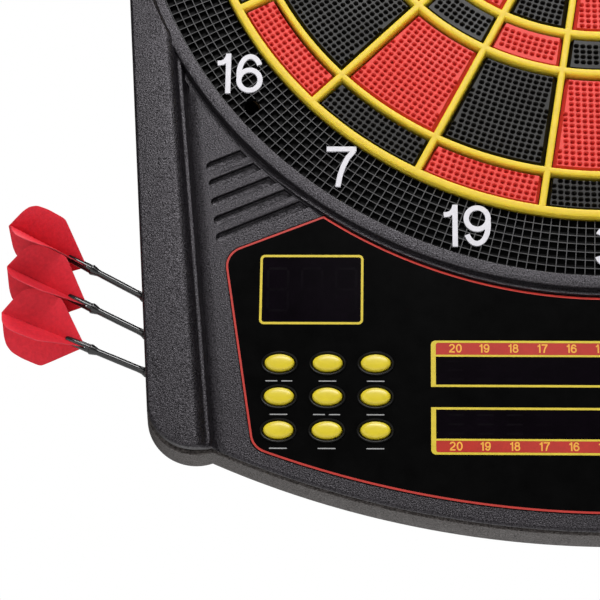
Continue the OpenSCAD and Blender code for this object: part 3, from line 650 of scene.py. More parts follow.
SLOT_LEN = 42.8
for k in range(3):
    org, px, py, pz = dart_axes(k)
    body = "dart_%d" % (k + 1)
    # shaft: spigot, shoulder, waisted stem, collar and four prongs
    prof = [(0.0, -12.0), (1.5, -12.0), (1.5, -5.0), (2.3, -5.0), (2.5, -4.8), (2.5, -1.2), (2.3, -0.8), (1.75, 0.5), (1.62, 3.0), (1.66, 13.0), (1.62, 22.6),
            (1.64, 23.6), (1.78, 24.1), (2.45, 26.5), (2.52, 26.8), (2.52, 27.25), (2.4, 27.45), (2.14, 27.6), (2.1, 29.4), (2.05, 31.0), (1.98, 35.0), (1.82, 39.3), (1.45, 40.0), (0.0, 40.0)]
    prof = [(max(r, 0.02), z) for r, z in prof]
    b = Build()
    v, f = lathe(prof, 40)
    b.add(placed(v, org, px, py, pz), f)
    shaft = b.piece("dart_%d_shaft_turned" % (k + 1), "shaft", body, ["dart_%d_shaft" % (k + 1)], "dart_shaft")
    cutters = []
    for w in range(4):
        a = math.radians(TURNS[k][w])
        ux, uy = (math.cos(a), -math.sin(a), 0), (math.sin(a), math.cos(a), 0)
        box = []
        for z in (29.6, 44.0):
            for r, c in ((-0.2, -0.4), (4.0, -0.4), (4.0, 0.4), (-0.2, 0.4)):
                box.append(np.array(ux) * r + np.array(uy) * c + np.array((0, 0, z)))
        v, f = loft([box[:4], box[4:]])
        cutters.append((placed(v, org, px, py, pz), f))
    cut_with(shaft, cutters)
    # flight: four thin wings, lightly cupped, with a raised diamond lattice
    b = Build()
    edge = rounded(FLIGHT[:], 4, 0.3)
    shape = np.concatenate((edge, [(0.15, 73.3), (0.15, 30.7)]))
    shape = shape[shape[:, 0] > 0.1]
    inner = []
    for j, zz in enumerate(np.arange(30.4, 74.0, 1.05)):
        for rr in np.arange(0.5, 17.6, 1.05):
            i = int(round((rr - 0.5) / 1.05))
            inner.append((rr, zz, 1.0 if (i % 2 == 0) and ((i // 2 + j) % 2 == 0) else 0.0))
    inner = np.array(inner)
    ok = inside(inner[:, :2], shape) & (poly_distance(inner[:, :2], shape) > 0.45)
    inner = inner[ok]
    vv, tt = mesh_plane([shape], points=inner[:, :2], keep=lambda c: inside(c, shape))
    mark = {(round(r, 3), round(z, 3)): s for r, z, s in inner}
    up = np.array([mark.get((round(p[0], 3), round(p[1], 3)), 0.0) for p in vv])
    margin = np.clip(poly_distance(vv, shape) / 1.0, 0, 1)
    for w in range(4):
        a = math.radians(TURNS[k][w])
        ux, uy = np.array((math.cos(a), -math.sin(a), 0)), np.array((math.sin(a), math.cos(a), 0))
        sag = -SAGS[k][w] * (np.clip(vv[:, 0] - 9.0, 0, 9) / 8.3) ** 2 * np.clip((vv[:, 1] - 40) / 25, 0.15, 1)
        half = 0.15 + 0.2 * up * margin
        both = []
        for s in (1, -1):
            off = s * half + sag
            both.append(vv[:, :1] * ux + off[:, None] * uy + vv[:, 1:2] * np.array((0, 0, 1.0)))
        n = len(vv)
        faces = [tuple(q) for q in tt] + [tuple(q[::-1] + n) for q in tt]
        b.add(placed(np.concatenate(both), org, px, py, pz), faces, 0)
        # the cut edge of the film, in the same shell
        e = np.concatenate((tt[:, [0, 1]], tt[:, [1, 2]], tt[:, [2, 0]]))
        have = set(map(tuple, e.tolist()))
        rim = [(p, p + n, q + n, q) for p, q in e.tolist() if (q, p) not in have]
        b.f += [tuple(i + b.n - 2 * n for i in q) for q in rim]
        b.m += [1] * len(rim)
    b.piece("dart_%d_flight_wings" % (k + 1), ["flight", "flight_edge"], body, ["dart_%d_flight" % (k + 1)], "dart_flight", smooth=40)
    # barrel with a grooved grip, and the soft tip
    prof = [(0.02, -50.0), (1.6, -50.0), (2.6, -49.4), (3.0, -48.0)]
    z = -46.0
    while z < -9.0:
        prof += [(3.35, z), (3.35, z + 1.15), (3.0, z + 1.35), (3.0, z + 1.75)]
        z += 1.95
    prof += [(3.3, -8.0), (3.1, -6.0), (2.6, -5.02), (0.02, -5.02)]
    v, f = lathe(prof, 40)
    Build().add(placed(v, org, px, py, pz), f).piece("dart_%d_barrel_turned" % (k + 1), "brass", body, ["dart_%d_barrel" % (k + 1)], "dart_barrel")
    prof = [(0.02, -75.2), (0.35, -75.1), (0.55, -74.4), (0.7, -70.0), (0.95, -62.0), (1.15, -56.0), (1.3, -54.5), (2.3, -53.6), (2.5, -53.0), (2.5, -51.0), (2.3, -50.05), (1.45, -50.02), (1.45, -45.2), (0.02, -45.2)]
    v, f = lathe(prof, 32)
    Build().add(placed(v, org, px, py, pz), f).piece("dart_%d_tip_soft" % (k + 1), "tip", body, ["dart_%d_tip" % (k + 1)], "dart_tip")

# holes of the darts in the side wall, and of the power inlet
cutters = []
for k in range(3):
    org, px, py, pz = dart_axes(k)
    v, f = lathe([(4.2, -12.0), (4.2, 12.0)], 40)
    cutters.append((placed(v, org, px, py, pz), f))
inlet_x, inlet_z = CX + CR * math.cos(TURN), CZ + 20.0
v, f = lathe([(4.4, -8.0), (4.4, 8.0)], 40)
cutters.append((placed(v, (inlet_x + 1.6, -22.0, inlet_z), (0, 1, 0), (math.sin(TURN), 0, -math.cos(TURN)), (math.cos(TURN), 0, math.sin(TURN))), f))
cut_with(sides, cutters)

# ------------------------------------------------------------------ number ring


def ring_profile():
    rows = [196.9, 197.4]
    for k in range(7):
        c = 200.36 + 3.944 * k
        if c < 226.0:
            rows += [c - 0.26, c - 0.19, c + 0.19, c + 0.26]
    rows += [225.4, 225.95]
    return rows


rows = ring_profile()
arcs = [200.36 + 3.944 * k for k in range(7)]
N_RAD = 312
ang, on_line = [], []
for k in range(N_RAD):
    c = -math.pi / 2 + (k + 0.5) * 2 * math.pi / N_RAD
    for off, hi in ((-0.26, 0), (-0.19, 1), (0.19, 1), (0.26, 0)):
        ang.append((c, off))
        on_line.append(hi)
n_a = len(ang)
vtop = []
for r in rows:
    near = min(abs(r - a) for a in arcs)
    arc_hi = near < 0.22 or r < 197.2 or r > 225.5
    for (c, off), hi in zip(ang, on_line):
        th = c + off / r
        d = 35.0 if (arc_hi or hi) else 32.65
        vtop.append((r * math.cos(th), -d, r * math.sin(th)))
faces, fm = [], []
for i in range(len(rows) - 1):
    for j in range(n_a):
        j2 = (j + 1) % n_a
        faces.append((i * n_a + j, i * n_a + j2, (i + 1) * n_a + j2, (i + 1) * n_a + j))
        mid = 0.5 * (rows[i] + rows[i + 1])
        tops = min(abs(mid - a) for a in arcs) < 0.2 or (on_line[j] == 1 and on_line[j2] == 1)
        fm.append(1 if tops and mid < 225.4 else 0)
nt_ = len(vtop)
for r in (rows[-1], rows[0]):
    for c, off in ang:
        th = c + off / r
        vtop.append((r * math.cos(th), -32.5, r * math.sin(th)))
last = (len(rows) - 1) * n_a
for j in range(n_a):
    j2 = (j + 1) % n_a
    faces.append((last + j, last + j2, nt_ + j2, nt_ + j))
    faces.append((nt_ + j, nt_ + j2, nt_ + n_a + j2, nt_ + n_a + j))
    faces.append((nt_ + n_a + j, nt_ + n_a + j2, j2, j))
    fm += [0, 0, 0]
b = Build()
b.add(vtop, faces)
b.m = fm
ring = b.piece("number_ring_grid", ["ring_black", "ring_grid"], nodes=["number_ring"], slot="number_ring", smooth=20)
cutters = []
for sx in (-1, 1):
    for sz in (-1, 1):
        v, f = lathe([(3.8, 25.0), (3.8, 45.0)], 36)
        cutters.append((placed(v, (165.5 * sx, 0, 138.0 * sz), (1, 0, 0), (0, 0, 1), (0, -1, 0)), f))
cut_with(ring, cutters)

# ------------------------------------------------------------------ numerals


def arc(cx, cy, rx, ry, a0, a1, n=22):
    return [(cx + rx * math.cos(math.radians(a)), cy + ry * math.sin(math.radians(a))) for a in np.linspace(a0, a1, n)]


def strokes(ch):
    """Centre lines of a digit, 20 high, about 13 wide, drawn round x = 0."""
    if ch == "0":
        return [arc(0, 10, 4.95, 8.5, 0, 360, 44)]
    if ch == "1":
        return [[(1.4, 0), (1.4, 20)], [(-3.6, 15.2), (-1.6, 15.4), (0.0, 16.3), (1.0, 18.0), (1.4, 19.6)]]
    if ch == "2":
        return [arc(0, 13.8, 4.8, 4.7, 172, -28, 22) + [(2.6, 9.3), (-1.6, 5.9), (-3.8, 3.6), (-4.7, 1.2)], [(-6.2, 1.5), (6.1, 1.5)]]
    if ch == "3":
        return [arc(-0.3, 14.65, 4.3, 3.85, 165, -82, 22) + [(-2.0, 10.75)], arc(-0.3, 6.2, 4.95, 4.7, 82, -168, 26)]
    if ch == "4":
        return [[(2.9, 19.2), (-5.4, 6.0)], [(-6.6, 5.9), (6.2, 5.9)], [(2.5, 0), (2.5, 20)]]
    if ch == "5":
        return [[(-3.8, 18.5), (5.2, 18.5)], [(-3.5, 19.6), (-4.5, 9.6)], [(-4.4, 10.3)] + arc(-0.1, 6.7, 4.95, 5.2, 136, -162, 26)]
    if ch == "6":
        return [arc(0, 6.6, 4.85, 5.1, 0, 360, 40), arc(0.2, 9.6, 5.05, 8.9, 32, 190, 24)]
    if ch == "7":
        return [[(-6.7, 18.5), (6.7, 18.5)], [(5.5, 17.6), (2.8, 14.2), (0.9, 10.2), (-0.6, 5.4), (-1.5, 0.0)]]
    if ch == "8":
        return [arc(0, 14.75, 4.05, 3.8, 0, 360, 36), arc(0, 6.2, 4.85, 4.7, 0, 360, 40)]
    return [[(-x, 20 - y) for x, y in s] for s in strokes("6")]


def stroke_loops(line, w):
    """The area within w / 2 of a line, as a loop, or two loops for a closed line."""
    p = np.array(line, float)
    closed = np.hypot(*(p[0] - p[-1])) < 1e-6
    if closed:
        p = p[:-1]
        t = np.roll(p, -1, 0) - np.roll(p, 1, 0)
    else:
        t = np.gradient(p, axis=0)
    t /= np.hypot(t[:, 0], t[:, 1])[:, None]
    n = np.column_stack((-t[:, 1], t[:, 0])) * w / 2
    if closed:
        return [p + n, p - n]
    return [np.concatenate((p + n, (p - n)[::-1]))]


def text_mesh(text, cx, cz, height, weight=3.0, gap=1.75):
    """Triangles of an upright number, centred on cx, cz."""
    k = height / 20.0
    areas, x = [], 0.0
    for ch in text:
        parts = [stroke_loops(l, weight) for l in strokes(ch)]
        allp = np.concatenate([q for s in parts for q in s])
        lo, hi = allp[:, 0].min(), allp[:, 0].max()
        for s in parts:
            areas.append([q + np.array((x - lo, 0)) for q in s])
        x += hi - lo + gap
    w = x - gap
    areas = [[(q - np.array((w / 2, 10))) * k + np.array((cx, cz)) for q in s] for s in areas]
    # keep the strokes of a foot or an arm inside the digit's height
    areas = [[np.column_stack((q[:, 0], np.clip(q[:, 1], cz - height / 2, cz + height / 2))) for q in s] for s in areas]

    def keep(c):
        ok = np.zeros(len(c), bool)
        for s in areas:
            if len(s) == 2:
                ok |= inside(c, s[0]) != inside(c, s[1])
            else:
                ok |= inside(c, s[0])
        return ok

    return mesh_plane([q for s in areas for q in s], keep=keep)


ORDER = [20, 1, 18, 4, 13, 6, 10, 15, 2, 17, 3, 19, 7, 16, 8, 11, 14, 9, 12, 5]
b = Build()
for k, num in enumerate(ORDER):
    a = math.radians(90 - 18 * k)
    v, t = text_mesh(str(num), 209.2 * math.cos(a) - (2.4 if num == 16 else 0.0), 209.2 * math.sin(a) + (1.8 if num == 16 else 0.0), 20.8, weight=2.35, gap=2.6)
    b.add(*slab(v, t, 35.4, 34.2))
b.piece("number_ring_numerals", "numeral", slot="number_ring", smooth=30)

# ------------------------------------------------------------------ spider

WIRES = [(194.05, 3.7), (174.2, 2.8), (122.5, 3.3), (102.5, 3.3), (21.0, 3.3), (9.5, 3.3)]
BAR_W = 3.3


def bar_dirs():
    return [math.radians(9 + 18 * k) for k in range(20)]


def wire_gap(p):
    """Distance outside of the nearest wire's centre line, in units of its half width."""
    r = np.hypot(p[:, 0], p[:, 1])
    best = np.full(len(p), 9.0)
    for c, w in WIRES:
        best = np.minimum(best, np.abs(r - c) / (w / 2))
    for a in bar_dirs():
        ux, uz = math.cos(a), math.sin(a)
        along = p[:, 0] * ux + p[:, 1] * uz
        across = np.abs(p[:, 1] * ux - p[:, 0] * uz)
        ok = (along > 9.5) & (along < 194.4)
        ok &= along > 20.0
        best = np.minimum(best, np.where(ok, across / (BAR_W / 2), 9.0))
    for a in (0, 90, 180, 270):
        ux, uz = math.cos(math.radians(a + 45)), math.sin(math.radians(a + 45))
        along = p[:, 0] * ux + p[:, 1] * uz
        across = np.abs(p[:, 1] * ux - p[:, 0] * uz)
    return best


STEPS = (0.4, 0.66, 0.86, 0.96, 1.0)
loops, lines = [], []
for c, w in WIRES:
    n = 360 if c > 150 else 240 if c > 60 else 96
    for s in STEPS:
        loops += [circle(c + s * w / 2, n), circle(c - s * w / 2, n)]
for a in bar_dirs():
    ux, uz = np.array((math.cos(a), math.sin(a))), np.array((-math.sin(a), math.cos(a)))
    for s in STEPS:
        for q in (-1, 1):
            lines.append(np.array([ux * k + uz * q * s * BAR_W / 2 for k in np.linspace(20.5, 194.4, 40)]))
v, t = mesh_plane(loops, lines, keep=lambda c: wire_gap(c) < 1.0)
g = wire_gap(v)
top = np.interp(g, (0, 0.4, 0.66, 0.86, 0.96, 1.0), (38.5, 38.49, 38.44, 38.25, 37.85, 37.1))
Build().add(*slab(v, t, top, 30.0)).piece("spider_web", "spider", nodes=["spider"], slot="spider", smooth=50)

# ------------------------------------------------------------------ scoring segments

PITCH, ROW = 3.05, 2.75
HOLE_W, HOLE_H, HOLE_C = 0.84, 0.72, 0.38
CHAMFER = 0.44


def hole_loop(x, z, g=0.0):
    w, h, c = HOLE_W + g, HOLE_H + g, HOLE_C + 0.6 * g
    return np.array([(x + a, z + b) for a, b in ((w, -h + c), (w, h - c), (w - c, h), (-w + c, h), (-w, h - c), (-w, -h + c), (-w + c, -h), (w - c, -h))])


def in_hole(p, hc, g=0.0):
    """True for points inside one of the holes round the centres hc, grown by g."""
    out = np.zeros(len(p), bool)
    for i in range(0, len(p), 4000):
        d = np.abs(p[i : i + 4000, None, :] - hc[None])
        out[i : i + 4000] = ((d[..., 0] < HOLE_W + g) & (d[..., 1] < HOLE_H + g) & (d[..., 0] + d[..., 1] < HOLE_W + HOLE_H - HOLE_C + 1.4 * g)).any(1)
    return out


def segment(r0, r1, rows_at=None, side=1.4, end=1.4):
    """One segment that points along +z from the centre, with its field of holes, as a cup open to the rear."""
    g = 0.4
    half = BAR_W / 2 + g

    def edge(i, j, n=14):
        h, a, b = half + i, r0 + j, r1 - j
        # sides are parallel to the bars at 9 degrees each side of the axis
        def corner(r, s):
            off = h
            al = math.sqrt(r * r - off * off)
            t = math.radians(90 - 9 * s)
            ux, uz = math.cos(t), math.sin(t)
            return math.atan2(al * uz + s * off * (ux), al * ux - s * off * (uz))
        out = []
        a0, a1 = corner(b, 1), corner(b, -1)
        for q in np.linspace(a0, a1, n):
            out.append((b * math.cos(q), b * math.sin(q)))
        if a > h / math.sin(math.radians(9)) + 0.3:
            a0, a1 = corner(a, -1), corner(a, 1)
            for q in np.linspace(a0, a1, n):
                out.append((a * math.cos(q), a * math.sin(q)))
        else:
            tip = max(a, h / math.sin(math.radians(9)))
            out.append((0.0, tip))
        return np.array(out)

    def gaps(p):
        r = np.hypot(p[:, 0], p[:, 1])
        t = math.radians(9)
        right = -p[:, 0] * math.cos(t) + p[:, 1] * math.sin(t)
        left = p[:, 0] * math.cos(t) + p[:, 1] * math.sin(t)
        return np.minimum(right, left) - half, np.minimum(r - r0, r1 - r)

    rim = edge(0.0, 0.0)
    if rows_at is None:
        n_row = int((r1 - r0 - 2.2) / ROW)
        mid = (r0 + r1) / 2
        rows_at = [mid + (j - (n_row - 1) / 2) * ROW for j in range(n_row)]
    holes = []
    for r in rows_at:
        for i in range(-12, 13):
            x = i * PITCH
            if abs(x) > r * 0.3:
                continue
            z = math.sqrt(r * r - x * x)
            s, e = gaps(np.array([(x, z)]))
            if s[0] > side + 0.55 and e[0] > end + 0.55:
                holes.append((x, z))
    loops = [rim, edge(0.35, 0.35), edge(side, end), edge(side + 0.35, end + 0.35), edge(1.25, 1.25), edge(1.32, 1.32)]
    hl = [hole_loop(x, z, g) for x, z in holes for g in (0.0, CHAMFER)]
    hc = np.array(holes)

    def keep(c):
        s, e = gaps(c)
        return ~in_hole(c, hc) & (s > -1e-4) & (e > -0.02) & inside(c, rim)

    v, t = mesh_plane(loops + hl, keep=keep)
    s, e = gaps(v)
    q = np.minimum(s, e)
    step = (33.2, 33.6, 35.5, 36.5)
    top = np.minimum(np.interp(s, (0, 0.35, side, side + 0.35), step), np.interp(e, (0, 0.35, end, end + 0.35), step))
    top = top - np.where(in_hole(v, hc, 0.05), 0.65, 0.0)
    bottom = np.where(q < 1.285, 27.0, 32.4)
    shell = slab(v, t, top, bottom)
    # floor of the holes, inside the cup
    base = edge(1.2, 1.2)
    v, t = mesh_plane([base], keep=lambda c: inside(c, base))
    under = slab(v, t, 34.4, 34.0)
    n = len(shell[0])
    return np.concatenate((shell[0], under[0])), list(shell[1]) + [tuple(i + n for i in q) for q in under[1]]


BANDS = {
    "double": (176.5, 191.8, [178.35 + 2.82 * j for j in range(5)]),
    "outer_single": (124.55, 172.4, None),
    "treble": (104.55, 120.45, None),
    "inner_single": (23.05, 100.45, None),
}
for band, (r0, r1, rows_at) in BANDS.items():
    single = "single" in band
    verts, faces = segment(r0, r1, rows_at) if single else segment(r0, r1, rows_at, 1.0, 0.6)
    for colour in ("red", "black"):
        b = Build()
        for k in range(20):
            if (k % 2 == 0) != ((colour == "red") == single):
                continue
            a = math.radians(-18 * k)
            c, s = math.cos(a), math.sin(a)
            w = np.column_stack((verts[:, 0] * c - verts[:, 2] * s, verts[:, 1], verts[:, 0] * s + verts[:, 2] * c))
            b.add(w, faces)
        name = "%s_%s" % (band, colour)
        b.piece(name + "_field", "seg_" + colour, name, [name], "segment_" + colour, smooth=30, weld=False)


def bull(r0, r1, holes):
    def gap(p):
        r = np.hypot(p[:, 0], p[:, 1])
        return np.minimum(r1 - r, r - r0 if r0 else 99.0)

    loops = [circle(r1 - i, 72) for i in (0, 0.8, 1.25, 1.32)]
    if r0:
        loops += [circle(r0 + i, 72) for i in (0, 0.8, 1.25, 1.32)]
    hc = np.array(holes)
    hl = [hole_loop(x, z) for x, z in holes]

    def keep(c):
        return (gap(c) > -0.005) & ~in_hole(c, hc)

    v, t = mesh_plane(loops + hl, keep=keep)
    g = gap(v)
    top = 36.5 - 0.6 * np.clip(1 - g / 0.8, 0, 1)
    bottom = np.where(g < 1.285, 27.0, 32.4)
    return slab(v, t, top, bottom)


pts = [(i * PITCH, j * ROW) for i in range(-6, 7) for j in range(-7, 8) if 13.0 < math.hypot(i * PITCH, j * ROW) < 17.6]
Build().add(*bull(11.55, 18.95, pts)).piece("outer_bull_field", "seg_black", "outer_bull", ["outer_bull"], "segment_black", smooth=30)
pts = [(i * PITCH, j * ROW) for i in range(-2, 3) for j in range(-2, 3) if math.hypot(i * PITCH, j * ROW) < 6.0]
Build().add(*bull(0, 7.45, pts)).piece("inner_bull_field", "seg_red", "inner_bull", ["inner_bull"], "segment_red", smooth=30)

# ------------------------------------------------------------------ control panel

PAN = panel_outline(0.0)
pan_holes = [ellipse(x, z, 6.75 + 0.4, 4 + 0.4, 56) for _, x, z in BUTTONS] + [rect(*grown(w, 0.05), r=2.0) for w in WINDOWS]


def keep_panel(c):
    ok = inside(c, PAN)
    for h in pan_holes:
        ok &= ~inside(c, h)
    return ok


v, t = mesh_plane([PAN, panel_outline(0.18)] + pan_holes, keep=keep_panel)
edge = poly_distance(v, PAN)
Build().add(*slab(v, t, np.where(edge < 0.05, 34.05, 34.2), 33.45)).piece("control_panel_sheet", "panel", nodes=["control_panel"], slot="panel", smooth=25)


def ribbon(outer, inner, d0, d1):
    v, t = mesh_plane([outer, inner], keep=lambda c: inside(c, outer) & ~inside(c, inner))
    return slab(v, t, d1, d0)


v, f = ribbon(panel_outline(0.25), panel_outline(1.2), 34.1, 34.26)
v = np.asarray(v)
# the stretch of the border line round the ring sits in the ring's cast shadow and gets the lighter red: painted light
# that offsets that shadow
painted_lit_arc = [np.hypot(*v[list(q)][:, (0, 2)].mean(0)) < 235.4 for q in f]
b = Build().add(v, [q for q, a in zip(f, painted_lit_arc) if not a]).add(v, [q for q, a in zip(f, painted_lit_arc) if a], 1)
b.piece("panel_border_line", ["line_red", "line_red_painted_lit"], slot="panel")

# plain dashes where the sheet carries captions
b = Build()
for name, x, z in BUTTONS[:9]:
    for off, w in ((-3.6, 5.4), (3.4, 5.0)) if name in ("button_1", "button_5") else ((0.0, 8.0),):
        v, f = loft([front(rect(x + off - w / 2, z - 8.5, w, 0.5, 0.22, 3), d) for d in (34.1, 34.25)])
        b.add(v, f)
b.piece("panel_marks", "dash_white", slot="panel")


def half_round(x, z, w, h, r, kind):
    """A rectangle with two round corners, at the top (1) or at the bottom (2)."""
    p = rect(x, z, w, h, r)
    sharp = p[:, 1] < z + h / 2 if kind == 1 else p[:, 1] > z + h / 2
    q = rect(x, z, w, h, 0.15)
    return np.where(sharp[:, None], q, p)


# windows: dark lens with a softened edge, yellow frame lines, red number strips
for nm, w, kind in (("score_display_left", WINDOWS[0], 0), ("score_display_right", WINDOWS[1], 0), ("cricket_display_upper", UPPER, 1), ("cricket_display_lower", LOWER, 2)):
    x, z, ww, hh = w
    b = Build()
    v, f = loft([front(rect(x + i, z + i, ww - 2 * i, hh - 2 * i, max(0.3, 2.0 - i), 6), d) for i, d in ((0.25, 27.2), (0.08, 27.6), (0.08, 33.9), (0.25, 34.18))])
    b.add(v, f, 0)
    if kind == 0:
        b.add(*ribbon(rect(x - 0.3, z - 0.3, ww + 0.6, hh + 0.6, 2.2), rect(x + 0.8, z + 0.8, ww - 1.6, hh - 1.6, 1.2), 34.05, 34.28), 1)
        # faint digit bars behind the lens
        for k in range(3):
            cx = x + ww * (k + 0.5) / 3 + 0.2
            for px, pz, w2, h2 in ((-4.2, 9.6, 8.4, 1.2), (-4.2, -0.6, 8.4, 1.2), (-4.2, -10.8, 8.4, 1.2), (-5.2, 0.8, 1.2, 8.6), (4.0, 0.8, 1.2, 8.6), (-5.2, -9.4, 1.2, 8.6), (4.0, -9.4, 1.2, 8.6)):
                v, f = loft([front(rect(cx + px, z + hh / 2 + pz, w2, h2, 0.3, 3), d) for d in (34.1, 34.2)])
                b.add(v, f, 4)
        b.piece(nm + "_lens", ["lens", "line_yellow", "strip_red", "digit_orange", "lens_bar"], nodes=[nm], slot="display")
        continue
    s0, s1 = (-261.9, -255.0) if kind == 1 else (-307.5, -301.4)
    # red strip
    v, f = loft([front(rect(x + 1.2, s0 + 0.3, ww - 2.4, s1 - s0 - 0.6, 0.8, 4), d) for d in (34.05, 34.24)])
    b.add(v, f, 2)
    # frame: two side bars, top and bottom lines, and the line between strip and window
    f0, f1 = (-276.7, -254.7) if kind == 1 else (-308.3, -286.3)
    b.add(*ribbon(half_round(x - 0.2, f0, ww + 0.4, f1 - f0, 2.2, kind), half_round(x + 2.0, f0 + 1.05, ww - 4.0, f1 - f0 - 2.1, 1.1, kind), 34.05, 34.3), 1)
    lz = s0 if kind == 1 else s1
    v, f = loft([front(rect(x + 1.0, lz - 0.45, ww - 2.0, 0.9), d) for d in (34.05, 34.29)])
    b.add(v, f, 1)
    nums = [20, 19, 18, 17, 16, 15, 15, 16, 17, 18, 19, 20]
    for k, num in enumerate(nums):
        cx = -70.5 + 13.1 * k if k < 6 else 70.5 - 13.1 * (11 - k)
        v, t = text_mesh(str(num), cx, (s0 + s1) / 2 + 0.1, 4.1, weight=3.3, gap=2.2)
        b.add(*slab(v, t, 34.3, 34.1), 3)
    # faint mark bars behind the lens
    z0, z1 = (z + 1.2, s0 - 0.6) if kind == 1 else (s1 + 0.6, z + hh - 1.2)
    for k in range(12):
        cx = -70.5 + 13.1 * k if k < 6 else 70.5 - 13.1 * (11 - k)
        for r in range(3):
            cz = z0 + (z1 - z0) * (r + 0.5) / 3
            v, f = loft([front(rect(cx - 3.6, cz - 0.45, 7.2, 0.9, 0.3, 3), d) for d in (34.1, 34.2)])
            b.add(v, f, 4)
    b.piece(nm + "_lens", ["lens", "line_yellow", "strip_red", "digit_orange", "lens_bar"], nodes=[nm], slot="display")

# buttons and their collars
b = Build()
for name, x, z in BUTTONS:
    prof = [(1.4, 1.3, 30.2), (1.4, 1.3, 31.2), (0.0, 0.0, 31.2), (0.0, 0.0, 35.3), (-0.12, -0.1, 35.9), (-0.45, -0.38, 36.35), (-1.1, -0.85, 36.65), (-2.2, -1.6, 36.85), (-3.6, -2.4, 36.96), (-5.2, -3.2, 37.0)]
    v, f = loft([front(ellipse(x, z, 6.75 + da, 4 + db, 64), d) for da, db, d in prof])
    Build().add(v, f).piece(name + "_cap", "button", name, [name], "button", smooth=42)
    rings = []
    for a_, d_ in ((7.3, 34.2), (7.3, 34.7), (7.42, 35.05), (7.7, 35.3), (8.0, 35.35), (8.25, 35.15), (8.42, 34.8), (8.5, 34.2)):
        rings.append(front(ellipse(x, z, a_, a_ - 2.7, 64), d_))
    v, f = loft(rings + [rings[0]], cap=False)
    b.add(v, f)
b.piece("button_collars_oval", "collar", nodes=["button_collars"], slot="collar", smooth=45)

# rear cover: the modelled shell with moulded grooves and a bare sunk field on the wall side


def groove_ring(r):
    rings = [front(ellipse(0, 0, q, q, 160), d) for q, d in ((r - 1.83, -0.5), (r + 1.83, -0.5), (r + 0.9, 0.9), (r - 0.9, 0.9))]
    return loft(rings + [rings[0]], cap=False)


def groove_bar(turn, r0, r1):
    ux, uz = math.cos(math.radians(turn)), math.sin(math.radians(turn))

    def loop(h):
        return np.array([(r * ux - q * uz, r * uz + q * ux) for r, q in ((r0, -h), (r1, -h), (r1, h), (r0, h))])
    return loft([front(loop(1.83), -0.5), front(loop(0.9), 0.9)])


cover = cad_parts["rear_cover"]
at = cover.matrix_world
b = Build()
b.add(np.array([tuple(at @ q.co) for q in cover.data.vertices]) * 1000, [tuple(q.vertices) for q in cover.data.polygons])
shell = b.piece("rear_cover_shell", "cover", nodes=["rear_cover"], slot="cover", smooth=30)
cut_with(shell, [groove_ring(r) for r in (62, 118, 174)] + [groove_bar(22.5 + 45 * k, 62, 174) for k in range(8)]
         + [loft([front(rect(-46.5, -296.5, 93, 43, 4.5, 6), -0.5), front(rect(-45, -295, 90, 40, 3, 6), 1.0)])])
shell.data.polygons.foreach_set("use_smooth", [True] * len(shell.data.polygons))
shell.data.set_sharp_from_angle(angle=math.radians(30))

# ------------------------------------------------------------------ finishes of the modelled nodes that stay visible

KEEP = {
    "rubber_mat": ("rubber", "mat"), "membrane_matrix": ("film", "membrane"), "foam_pad": ("foam", "foam"),
    "backing_plate": ("board", "plate"), "keypad_left": ("circuit", "circuit"), "keypad_right": ("circuit", "circuit"), "main_board": ("circuit", "circuit"),
    "speaker": ("speaker", "speaker"), "power_inlet": ("inlet", "inlet"), "dart_holder": ("holder", "holder"),
    "cover_screws": ("screw", "screw"), "plate_screws": ("screw", "screw"), "board_screws": ("screw", "screw"),
    "ribbon_cable": ("cable", "cable"), "flat_cables": ("cable", "cable"), "lead_wires": ("cable", "cable"),
}
for n, (m, s) in KEEP.items():
    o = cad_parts[n]
    o.data.materials.clear()
    o.data.materials.append(M[m])

# ------------------------------------------------------------------ stage, light, camera

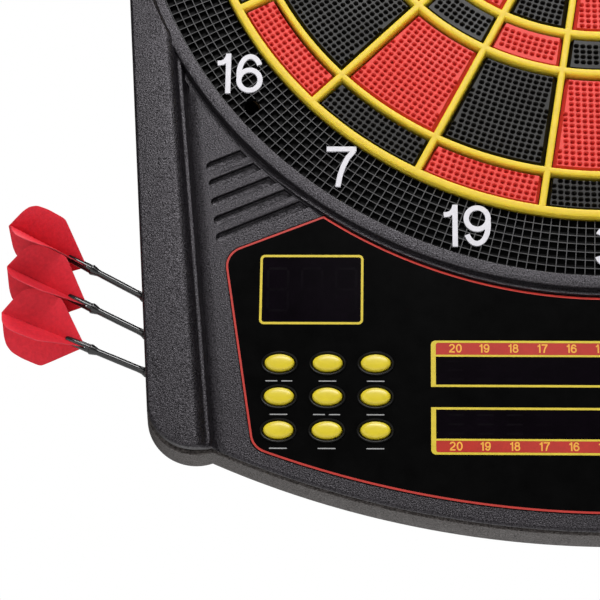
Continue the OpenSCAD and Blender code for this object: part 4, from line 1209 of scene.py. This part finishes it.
floor_me = bpy.data.meshes.new("floor")
floor_me.from_pydata([(-6, -6, -0.95), (6, -6, -0.95), (6, 6, -0.95), (-6, 6, -0.95)], [], [(0, 1, 2, 3)])
floor = bpy.data.objects.new("floor", floor_me)
floor_me.materials.append(material("floor_pale", (228, 228, 228), var=0.02, grain=6, rough=(0.7, 0.8), bump=0.02, spec=0.2))
scene.collection.objects.link(floor)
floor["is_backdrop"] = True

world = bpy.data.worlds.new("studio")
scene.world = world
world.use_nodes = True
nt = world.node_tree
bg = nt.nodes["Background"]
path = nt.nodes.new("ShaderNodeLightPath")
pick = nt.nodes.new("ShaderNodeMapRange")
pick.inputs["To Min"].default_value = 0.05
pick.inputs["To Max"].default_value = 1.0
nt.links.new(path.outputs["Is Camera Ray"], pick.inputs["Value"])
nt.links.new(pick.outputs["Result"], bg.inputs["Strength"])
bg.inputs["Color"].default_value = (1, 1, 1, 1)


def area(name, loc, target, size, power, shape="RECTANGLE"):
    l = bpy.data.lights.new(name, "AREA")
    l.shape = shape
    l.size, l.size_y = size
    l.energy = power
    o = bpy.data.objects.new(name, l)
    o.location = loc
    o.rotation_mode = "QUATERNION"
    o.rotation_quaternion = (Vector(target) - Vector(loc)).to_track_quat("-Z", "Y")
    scene.collection.objects.link(o)
    return o


area("key_front", (0.08, -1.35, 0.87), (0, 0, -0.1), (0.95, 0.5), 26)
area("fill_left", (-1.0, -1.2, -0.2), (-0.2, 0, -0.2), (0.9, 0.9), 4)
area("fill_back", (0.35, 1.7, 0.55), (0, 0.0, -0.05), (1.8, 1.2), 34)
overhead = bpy.data.lights.new("overhead", "SUN")
overhead.energy = 2.05
overhead.angle = math.radians(24)
overhead_ob = bpy.data.objects.new("overhead", overhead)
overhead_ob.location = (0, 0.3, 3)
scene.collection.objects.link(overhead_ob)

scene.view_settings.view_transform = "Standard"
scene.view_settings.look = "None"
scene.view_settings.exposure = 0.0
scene.view_settings.gamma = 1.0

az, el, roll = math.radians(2.48), math.radians(-19.93), math.radians(0.99)
back = Vector((math.sin(az) * math.cos(el), -math.cos(az) * math.cos(el), math.sin(el)))
fw = -back
rt = fw.cross(Vector((0, 0, 1))).normalized()
up = rt.cross(fw)
rt2 = math.cos(roll) * rt + math.sin(roll) * up
up2 = -math.sin(roll) * rt + math.cos(roll) * up
cam_data = bpy.data.cameras.new("camera")
cam_data.lens = 131.76
cam_data.sensor_width = 36.0
cam_data.clip_start, cam_data.clip_end = 0.05, 50.0
cam = bpy.data.objects.new("camera", cam_data)
rot = Matrix((rt2, up2, back)).transposed().to_4x4()
cam.matrix_world = Matrix.Translation(Vector((-0.1004, -0.9777, -0.5777))) @ rot
scene.collection.objects.link(cam)
scene.camera = cam

lo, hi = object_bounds()
